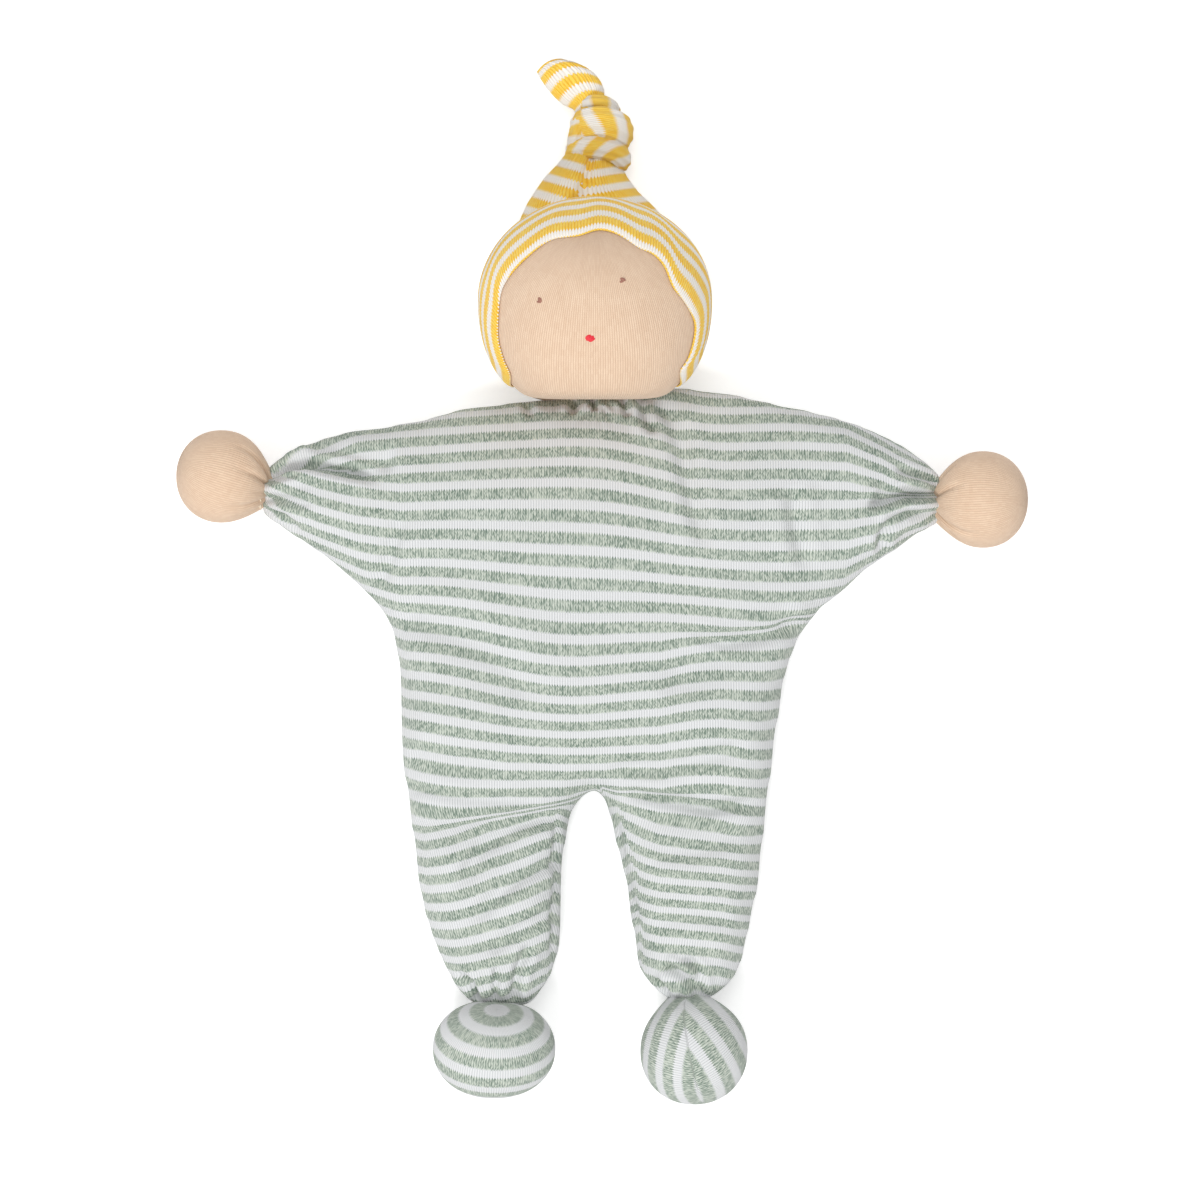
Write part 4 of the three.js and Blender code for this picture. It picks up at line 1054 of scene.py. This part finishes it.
def sew(name, place, stitches, finish, replaced):
    """Stitches on the face, each a short thick thread that dips into the skin at both ends."""
    parts = []
    for number, (dx, dy, half_length, half_width, turned) in enumerate(stitches):
        part = ball_piece(name if number == 0 else name + "_more", 28, 20)
        way = way_through(place[0] + dx - HEAD_CENTRE[0], place[1] + dy - HEAD_CENTRE[1], 0)
        middle = on_head(way, 0)
        out, level, rise = axes_for(way / np.array(HEAD_HALVES))
        turned = math.radians(turned)
        along = math.cos(turned) * level + math.sin(turned) * rise
        beside = np.cross(out, along)
        unit = points_of(part.data) * MM
        high = half_width * (0.9 - 0.9 * unit[:, 0] ** 2)
        twist = 1 + 0.12 * np.cos(3 * np.arctan2(unit[:, 2], unit[:, 1]) + 5 * unit[:, 0])
        thread = np.outer(unit[:, 1] * half_width * twist, beside) + np.outer(unit[:, 2] * high * twist, out)
        set_points(part.data, middle + np.outer(unit[:, 0] * half_length, along) + thread)
        parts.append(part)
    select_only(parts[0])
    for part in parts[1:]:
        part.select_set(True)
    bpy.ops.object.join()
    dress(parts[0], finish.material)
    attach(parts[0], "head")
    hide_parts(replaced)


rose_brown = Finish("rose brown thread", Roughness=0.7, Base_Color=srgb(160, 112, 96))
red_thread = Finish("red thread", Roughness=0.6, Base_Color=srgb(226, 48, 62))
for side, place in EYES.items():
    sew(side + "_eye_stitch", place, EYE_STITCHES, rose_brown, side + "_eye")
sew("mouth_stitch", MOUTH, MOUTH_STITCHES, red_thread, "mouth")


# Ties
# A few turns of cream cotton thread, wound tight round each gathered neck and knotted.

TIES = {  # where it is wound, the way that its neck points, half width and height, and its body
    "left_wrist": ((97.9, 22.6, 10), (1, 0, 0), 4.8, 4.2, "left_arm"),
    "right_wrist": ((-98.3, 24.4, 10.2), (-1, 0, 0), 4.3, 3.8, "right_arm"),
    "left_ankle": ((23.9, -121.2, 11.6), (0, -1, 0), 5.0, 4.6, "left_leg"),
    "right_ankle": ((-29.8, -122.7, 11.6), (0, -1, 0), 6.2, 4.8, "right_leg"),
    "neck": ((-2.1, 53.4, 11.8), (0, -1, 0), 7.6, 3.9, "neck"),
}
TIE_TURNS = 3
TIE_THICK, TIE_SPREAD = 0.34, 0.55  # half the thread's thickness, and how far its turns spread

cream_thread = Finish("cream thread", Roughness=0.8, Base_Color=srgb(228, 213, 190))
for name, (place, out_of, wide, high, body) in TIES.items():
    bpy.ops.object.select_all(action="DESELECT")
    bpy.ops.mesh.primitive_torus_add(
        major_segments=216, minor_segments=10, major_radius=1, minor_radius=0.2
    )
    tie = bpy.context.active_object
    tie.name = tie.data.name = name + "_thread"
    ring = points_of(tie.data) * MM
    turn = np.arctan2(ring[:, 1], ring[:, 0])
    section = np.arctan2(ring[:, 2], np.hypot(ring[:, 0], ring[:, 1]) - 1)
    out, beside, up = axes_for(out_of)
    wound = TIE_TURNS * turn
    radial = np.outer(np.cos(wound), beside) + np.outer(np.sin(wound), up)
    line = (
        np.array(place) + np.outer(wide * np.cos(wound), beside) + np.outer(high * np.sin(wound), up)
        + np.outer(TIE_SPREAD * np.sin(turn), out)
    )
    around = radial * np.cos(section)[:, None] + np.outer(np.sin(section), out)
    set_points(tie.data, line + TIE_THICK * around)
    dress(tie, cream_thread.material)
    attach(tie, body)
    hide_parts(name + "_tie")


# Hood
# A tube of yellow and cream striped knit, stretched over the head and sewn to it along its
# brim, which runs round the face, behind the jaw and under the nape.

HOOD_BRIM = [  # in plan from the head's middle, from the doll's right jaw over the top
    (-24.8, -22.4), (-26.6, -17.6), (-28.1, -11.5), (-28, -6), (-26.8, 2.6), (-24, 7.4), (-19, 12.4),
    (-11.6, 17.2), (-4.3, 17.7), (1, 19.3), (5.8, 18.3), (11.6, 15), (15.8, 13.4), (19.4, 9.9),
    (22.5, 3), (26.7, -2.6), (28.9, -7.4), (28.5, -12.6), (27, -17.4), (25, -21.4),
]
HOOD_NAPE = [  # and on behind the neck, in plan and height from the head's middle
    (23, -21.6, -9), (20, -20.4, -16), (12, -19.6, -22.5), (0, -19.5, -24.5), (-12, -20, -22.5),
    (-21, -21.5, -15.5), (-25, -23, -7),
]
HOOD_THICK, HOOD_GAP = 1.2, 0.25  # of the cloth, and between it and the skin
HOOD_ROUND = 0.19  # metres round its tube, before it is stretched over the head
HOOD_STEPS = 8  # points of the smooth brim to each of these
HOOD_LINING = 0.3  # the lowest that its inner side lies over the table
HOOD_LIP, HOOD_THINNED = 1.6, 0.7  # rows and share of its thickness that its edge turns in by
EDGE_TURNED, EDGE_TURNED_WITHIN = 1.1, 0.5  # how much knit its edge rolls in, and over what width
EDGE_WAVES, EDGE_WAVE_SHARE = 9, 0.6  # round the brim, and how much the roll varies
HOOD_TUCKED = 2.2  # how much more of its edge is turned under at the doll's right cheek
TUCKED_X, TUCKED_Y = (-14, -22), (8, -4)  # from the head's middle, where that starts and is all
HOOD_PITCH, HOOD_FIRST = 6.0, 3.7  # of its stripes, and from the brim to the middle of the first
HOOD_KNIT_ROUND = 200.0  # millimetres of knit round it, as its ribs show them
TAIL_ROOT = (0, 0.79, -0.61)  # the way from the head's middle to where the tail starts
TAIL_ROOT_REACH = 4  # degrees that the hood stays open there
HOOD_AROUND, HOOD_DOWN = 200, 56  # points round it and down it


brim = [way_through(x, y, HOOD_THICK) for x, y in HOOD_BRIM]
brim += [np.array(place) / np.array(HEAD_HALVES) for place in HOOD_NAPE]
brim = rounded_loop([way / np.linalg.norm(way) for way in brim], HOOD_STEPS)
brim /= np.linalg.norm(brim, axis=1)[:, None]
root, root_level, root_rise = axes_for(TAIL_ROOT)
brim_turn = np.arctan2(brim @ root_rise, brim @ root_level)
brim_polar = np.arccos(np.clip(brim @ root, -1, 1))
order = np.argsort(brim_turn)
hood_turn = np.arange(HOOD_AROUND) / HOOD_AROUND * 2 * math.pi - math.pi
hood_brim = np.interp(hood_turn, brim_turn[order], brim_polar[order], period=2 * math.pi)
share = np.linspace(0, 1, HOOD_DOWN)[:, None]
hood_polar = hood_brim + (math.radians(TAIL_ROOT_REACH) - hood_brim) * share
hood_way = (
    np.cos(hood_polar)[..., None] * root
    + np.sin(hood_polar)[..., None]
    * (np.cos(hood_turn)[:, None] * root_level + np.sin(hood_turn)[:, None] * root_rise)
)
lip = np.exp(-share * (HOOD_DOWN - 1) / HOOD_LIP)[..., None]
outer = on_head(hood_way, HOOD_GAP + HOOD_THICK * (1 - HOOD_THINNED * lip))
inner = on_head(hood_way, HOOD_GAP)
outer[..., 2] = np.maximum(outer[..., 2], ABOVE_TABLE)
inner[..., 2] = np.maximum(inner[..., 2], HOOD_LINING)


def shell_piece(name, outer, inner):
    """A closed cloth shell from an outer and an inner grid, which run round, open at both ends."""
    rows, around, _ = outer.shape
    faces = []
    size = rows * around
    for i in range(rows - 1):
        for j in range(around):
            k = (j + 1) % around
            a, b, c, d = i * around + j, i * around + k, (i + 1) * around + k, (i + 1) * around + j
            faces.append((a, b, c, d))
            faces.append((size + d, size + c, size + b, size + a))
    for j in range(around):
        k = (j + 1) % around
        faces.append((size + j, size + k, k, j))
        end = (rows - 1) * around
        faces.append((end + j, end + k, size + end + k, size + end + j))
    return new_piece(name, np.vstack([outer.reshape(-1, 3), inner.reshape(-1, 3)]), faces)


def map_shell(piece, across, down):
    """The knit's map on a shell, from its length round and each grid point's place down it."""
    corner, face = corners_of(piece.data)
    cell = corner % down.size
    around = down.shape[1]
    column = run_on((cell % around).astype(float), face, around)
    write_map(piece.data, column / around * across, down.reshape(-1)[cell])


hood = shell_piece("hood_knit", outer, inner)
step = np.linalg.norm(np.diff(outer, axis=0), axis=-1)
brim_x, brim_y = outer[0, :, 0] - HEAD_CENTRE[0], outer[0, :, 1] - HEAD_CENTRE[1]
from_brim = np.vstack([np.zeros((1, HOOD_AROUND)), np.cumsum(step, axis=0)])
roll_wave = 1 + EDGE_WAVE_SHARE * np.sin(EDGE_WAVES * hood_turn)
turned_edge = EDGE_TURNED * np.exp(-((from_brim / EDGE_TURNED_WITHIN) ** 2)) * roll_wave
tucked = HOOD_TUCKED * smoothstep(*TUCKED_X, brim_x) * smoothstep(*TUCKED_Y, brim_y)
hood_down = (from_brim + tucked - HOOD_FIRST) * STRIPE_PITCH / HOOD_PITCH
hood_down -= turned_edge * (1 - tucked / HOOD_TUCKED)
map_shell(hood, HOOD_KNIT_ROUND, hood_down)
select_only(hood)
bpy.ops.object.mode_set(mode="EDIT")
bpy.ops.mesh.select_all(action="SELECT")
bpy.ops.mesh.normals_make_consistent(inside=False)
bpy.ops.object.mode_set(mode="OBJECT")
# deep is the painted shade in the grooves between the ribs and rows
yellow_knit = striped_knit(
    "yellow striped knit", rib=0.85, rows=11, coloured_rows=6, pitch=STRIPE_PITCH,
    dark=srgb(252, 193, 36), pale=srgb(255, 222, 100), plain=srgb(250, 246, 240), deep=srgb(238, 228, 216),
    slant=0.9, fleck=0.7, rise=0.0004,
)
dress(hood, yellow_knit)
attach(hood, "head")
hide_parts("hood")


def cloth_area(points):
    """Area in square millimetres of a grid of points that runs round."""
    a, b = points[:-1], points[1:]
    side = np.roll(a, -1, axis=1) - a
    return float(np.linalg.norm(np.cross(side, b - a), axis=-1).sum())


hood_deep = round(cloth_area(outer) * MM**2 / HOOD_ROUND, 3)


# Hood's tail
# The hood's knit tube narrows behind the head and lies flat on the table, one flap folded over
# the other down its middle.

TAIL_RINGS = [  # y, left edge, right edge, height over its middle, depth under it
    (98, -23, 18, 6.5, 6), (101, -24.4, 19.6, 6.8, 6.1), (104, -23.2, 17.4, 7, 6.2),
    (107.5, -21.6, 14, 7.2, 6.2), (111, -19.4, 10.3, 6.6, 6), (115, -16.6, 7.3, 6.2, 5.8),
    (119, -12.8, 5.2, 5.8, 5.6), (123, -9.6, 4.6, 5, 5), (127, -7.6, 4, 3.6, 4),
]
TAIL_MIDDLE = 6.5
TAIL_FOLD = [(104, -9.5), (108.3, -8), (110.6, -6.6), (112.9, -5.7), (116.8, -4.7), (121.1, -3.4)]  # y, x
FOLD_FORM = [(1.1, -2.6, 2.4), (-2.2, 0.5, 1.1)]  # the flap's roll and the groove: height, x, reach
TAIL_RIPPLE, TAIL_RIPPLES, RIPPLED_FROM = 0.25, 40, (108, 122)  # height, how many round it, y
TAIL_PITCH = 5.0
TAIL_FLAPS = {"left": (114.4, 0.29), "right": (112.9, -0.18)}  # y of a stripe at the fold, and its slope
TAIL_RADIUS = 12  # that its ribs are counted on
TUBE_FULLNESS = 0.86


def tube_from(polar, point, closing, far_blunt=1):
    """How far along a tube the rings of a ball lie, and how far each has opened from its ends."""
    run = np.clip((polar - point) / (math.pi - 2 * point), 0, 1)
    opened = np.clip(np.minimum(polar, (math.pi - polar) * far_blunt) / closing, 0, 1)
    return run, np.sqrt(1 - (1 - opened) ** 2)


def fuller(value):
    """A sine or cosine made larger, so that a tube's section is squarer than an ellipse."""
    return np.sign(value) * np.abs(value) ** TUBE_FULLNESS


tail = ball_piece("hood_tail_knit", 112, 64)
polar, turn = read_ball(tail)
rows = np.array(TAIL_RINGS)
run, opened = tube_from(polar, 0.16, 0.32)
y = rows[0, 0] + run * (rows[-1, 0] - rows[0, 0])
left, right, up, down = (np.interp(y, rows[:, 0], rows[:, i]) for i in (1, 2, 3, 4))
x = (left + right) / 2 + opened * (right - left) / 2 * fuller(np.cos(turn))
z = TAIL_MIDDLE + opened * np.where(np.sin(turn) > 0, up, down) * fuller(np.sin(turn))
fold_x = np.interp(y, *zip(*TAIL_FOLD))
beside = x - fold_x
top = smoothstep(0.1, 0.5, np.sin(turn))
z += top * sum(high * np.exp(-(((beside - off) / reach) ** 2)) for high, off, reach in FOLD_FORM)
z += top * TAIL_RIPPLE * np.cos(turn * TAIL_RIPPLES) * smoothstep(*RIPPLED_FROM, y)
set_points(tail.data, np.stack([x, y, np.maximum(z, ABOVE_TABLE)], 1))
flap_y, flap_slope = (np.where(beside < 0, *pair) for pair in zip(TAIL_FLAPS["left"], TAIL_FLAPS["right"]))
tail_down = (flap_y - y - flap_slope * beside) * STRIPE_PITCH / TAIL_PITCH
map_ball(tail, polar, turn, TAIL_RADIUS, tail_down)
dress(tail, yellow_knit)
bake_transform(tail)
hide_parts("hood_tail")


# Knot
# The tail is tied in one overhand knot, whose turns lie over each other as flat folded bands.

KNOT_BANDS = {  # path of each turn, its half width and half thickness, and its stripes: an x on
    # top where one is yellow, their pitch, and how they lean
    "knot_lower_turn": (
        [(-7.8, 121.4, 4), (-8.2, 122.4, 7), (-6.2, 123.4, 10.2), (-2, 123.7, 12), (3, 122.6, 12),
         (5.4, 120.9, 9.8), (5.6, 120.2, 6), (2, 121, 3.4), (-4, 121.6, 3)], 3.3, 2.4, (-2, 6.6, 0.75),
    ),
    "knot_side_turn": (
        [(-8.2, 122.6, 6), (-8, 125, 8.4), (-7.2, 128, 10.2), (-5.8, 131, 10.6), (-3.8, 134, 9),
         (-2, 135, 6)], 2.6, 2.0, (-7.2, 6, -0.6),
    ),
    "knot_middle_turn": (
        [(-6.2, 128.4, 3.6), (-6.8, 129.2, 7), (-4.8, 130.2, 11), (-0.8, 130.8, 13.6), (3, 130, 13.2),
         (5.9, 128.4, 10.4), (6, 127.6, 6), (2, 127.6, 3.4), (-4, 128, 3)], 4.3, 2.6, (1.4, 6.7, -0.5),
    ),
    "knot_upper_turn": (
        [(-5, 134.2, 4), (-4.6, 135.4, 7.4), (-2.4, 136.3, 10), (0.2, 136.1, 10.9), (2.2, 135, 10),
         (3, 134, 7.4), (2.2, 133.4, 4), (0, 133.6, 3)], 2.3, 2.2, (-0.4, 6.6, -0.25),
    ),
}
KNOT_MIDDLE = (-0.6, 6.5)  # x and height of the line that its turns go round
BAND_TOP = 8  # height over which a turn is seen
BAND_RADIUS = 6.5  # that its ribs are counted on
BAND_RIPPLE, BAND_RIPPLES = 0.05, 9  # share of its size, and how many round it
PATH_POINTS = 200


def smooth_path(points):
    """Evenly spaced points on a smooth open curve, their directions, and its length."""
    p = np.array(points, float)
    p = np.vstack([2 * p[0] - p[1], p, 2 * p[-1] - p[-2]])
    t = np.linspace(0, 1, 24, endpoint=False)[:, None]
    fine = [curve_between(p[i - 1], p[i], p[i + 1], p[i + 2], t) for i in range(1, len(p) - 2)]
    fine = np.vstack(fine + [p[-2:-1]])
    far = np.concatenate([[0], np.cumsum(np.linalg.norm(np.diff(fine, axis=0), axis=1))])
    even = np.linspace(0, far[-1], PATH_POINTS)
    path = np.stack([np.interp(even, far, fine[:, i]) for i in range(3)], 1)
    return path, np.gradient(path, axis=0), far[-1]


def band_piece(name, path, half_width, half_thick, stripes):
    """A flattened tube of knit along a path round the knot's middle line, closed at both ends."""
    piece = ball_piece(name, 72, 96)
    polar, turn = read_ball(piece)
    line, ways, length = smooth_path(path)
    run, opened = tube_from(polar, 0.1, 0.3)
    far = np.linspace(0, 1, PATH_POINTS)
    here = np.stack([np.interp(run, far, line[:, i]) for i in range(3)], 1)
    way = np.stack([np.interp(run, far, ways[:, i]) for i in range(3)], 1)
    way /= np.linalg.norm(way, axis=1)[:, None]
    out = here.copy()
    out[:, 0] -= KNOT_MIDDLE[0]
    out[:, 1] = 0
    out[:, 2] -= KNOT_MIDDLE[1]
    out -= way * (out * way).sum(1)[:, None]
    out /= np.linalg.norm(out, axis=1)[:, None]
    wide = np.cross(way, out)
    ripple = 1 + BAND_RIPPLE * np.cos(BAND_RIPPLES * turn + 3 * run)
    points = (
        here + wide * (half_width * opened * np.cos(turn) * ripple)[:, None]
        + out * (half_thick * opened * np.sin(turn) * ripple)[:, None]
    )
    points[:, 2] = np.maximum(points[:, 2], ABOVE_TABLE)
    set_points(piece.data, points)
    yellow_x, pitch, lean = stripes
    on_top = line[:, 2] >= BAND_TOP
    nearest = np.argmin(np.where(on_top, np.abs(line[:, 0] - yellow_x), np.inf))
    along = (run - nearest / (PATH_POINTS - 1)) * length + lean * half_width * opened * np.cos(turn)
    map_ball(piece, polar, turn, BAND_RADIUS, along * STRIPE_PITCH / pitch)
    dress(piece, yellow_knit)
    return piece


for name, (path, half_width, half_thick, stripes) in KNOT_BANDS.items():
    band = band_piece(name, path, half_width, half_thick, stripes)
    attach(band, "hood_tail")
    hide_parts("hood_knot")


# Hood's free end
# The tube's cut end comes out of the knot to the doll's right and lies flat, a little flared.

TIP_RINGS = [  # course, ends of the ring in plan on each side, how it bows out, half thickness
    (-1.6, (-5.4, 131), (1.8, 131.4), 0.4, 2.4), (-0.8, (-7.2, 132.8), (1.6, 134.6), 1.2, 2.9),
    (0, (-8.4, 134.7), (0.6, 138.2), 2, 3.3), (0.5, (-11.2, 135.9), (0.6, 140.2), 2.6, 3.4),
    (1, (-13.8, 138.2), (-0.4, 142.6), 2.9, 3.4), (1.5, (-15.8, 140.5), (-2, 144.8), 3, 3.2),
    (2, (-17.2, 142.6), (-4.4, 146.6), 2.8, 2.9), (2.5, (-18.2, 144.1), (-7.8, 148.2), 2, 2.5),
    (3, (-18.8, 145.4), (-11.8, 149.2), 1, 2),
]
TIP_HEIGHT = 6.4
TIP_RADIUS = 6  # that its ribs are counted on
TIP_RIPPLE, TIP_RIPPLES, TIP_RIPPLED_FROM = 0.2, 20, (0.1, 0.4)  # height, how many, share of its run

tip = ball_piece("hood_tip_knit", 96, 84)
polar, turn = read_ball(tip)
rings = np.array([(course, *left, *right, bow, thick) for course, left, right, bow, thick in TIP_RINGS])
run, opened = tube_from(polar, 0.1, 0.3, far_blunt=2.2)
far = np.linspace(0, 1, len(rings))
course, left_x, left_y, right_x, right_y, bow, thick = (np.interp(run, far, column) for column in rings.T)
left, right = np.stack([left_x, left_y], 1), np.stack([right_x, right_y], 1)
chord = (right - left) / 2
onward = np.stack([-chord[:, 1], chord[:, 0]], 1)
onward /= np.linalg.norm(onward, axis=1)[:, None]
sideways = opened * fuller(np.cos(turn))
plan = (left + right) / 2 + chord * sideways[:, None] + onward * (bow * (opened - sideways**2))[:, None]
wrinkle = TIP_RIPPLE * np.cos(TIP_RIPPLES * turn) * smoothstep(*TIP_RIPPLED_FROM, run) * np.abs(np.sin(turn))
height = TIP_HEIGHT + opened * (thick * fuller(np.sin(turn)) + wrinkle * np.sign(np.sin(turn)))
set_points(tip.data, np.column_stack([plan, height]))
map_ball(tip, polar, turn, TIP_RADIUS, course * STRIPE_PITCH)
dress(tip, yellow_knit)
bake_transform(tip)
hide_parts("hood_tip")


# Table, light and camera
# A plain white table under a soft even light, seen from straight above as in the photograph.

PHOTO_WIDTH = 0.3435  # what the square frame takes in, at the height of the doll's edges
CAMERA_HEIGHT, EDGE_HEIGHT = 2.2, 0.01
AIM = (-0.65, -6.05)
SENSOR = 36
TABLE_GLOW, ROOM_LIGHT = 0.42, 0.62

bpy.ops.mesh.primitive_plane_add(size=6, location=(0, 0, 0))
table = bpy.context.active_object
table.name = "table_top"
white = Finish("white table", Roughness=0.9, Specular_IOR_Level=0.1, Base_Color=srgb(236, 236, 236))
plain_white = Wire(white, white.shader.outputs[0])
glow = white.node("ShaderNodeEmission", None, (1, 1, 1, 1), TABLE_GLOW)
lit = white.node("ShaderNodeAddShader", None, plain_white, glow)
seen = white.node("ShaderNodeMixShader", None, white.node("ShaderNodeLightPath"), plain_white, lit)
white.tree.links.new(seen.socket, white.tree.nodes["Material Output"].inputs["Surface"])
table.data.materials.append(white.material)

world = bpy.data.worlds.new("soft room")
bpy.context.scene.world = world
world.use_nodes = True
sky = world.node_tree.nodes["Background"]
sky.inputs["Color"].default_value = (1, 1, 1, 1)
sky.inputs["Strength"].default_value = ROOM_LIGHT


def softbox(name, place, size, power):
    """A round lamp that shines on the doll's middle."""
    light = bpy.data.lights.new(name, "AREA")
    light.shape, light.size, light.energy = "DISK", size, power
    lamp = bpy.data.objects.new(name, light)
    lamp.location = place
    lamp.rotation_euler = (-Vector(place)).to_track_quat("-Z", "Y").to_euler()
    bpy.context.scene.collection.objects.link(lamp)


softbox("key", (-0.5, -1.2, 1.6), 0.7, 20)
softbox("overhead", (0, 0.8, 2.4), 1.4, 17)

camera = bpy.data.objects.new("camera", bpy.data.cameras.new("camera"))
bpy.context.scene.collection.objects.link(camera)
camera.location = (AIM[0] * MM, AIM[1] * MM, CAMERA_HEIGHT)
camera.data.sensor_width = SENSOR
camera.data.lens = SENSOR * (CAMERA_HEIGHT - EDGE_HEIGHT) / PHOTO_WIDTH
bpy.context.scene.camera = camera
bpy.context.scene.view_settings.view_transform = "Standard"
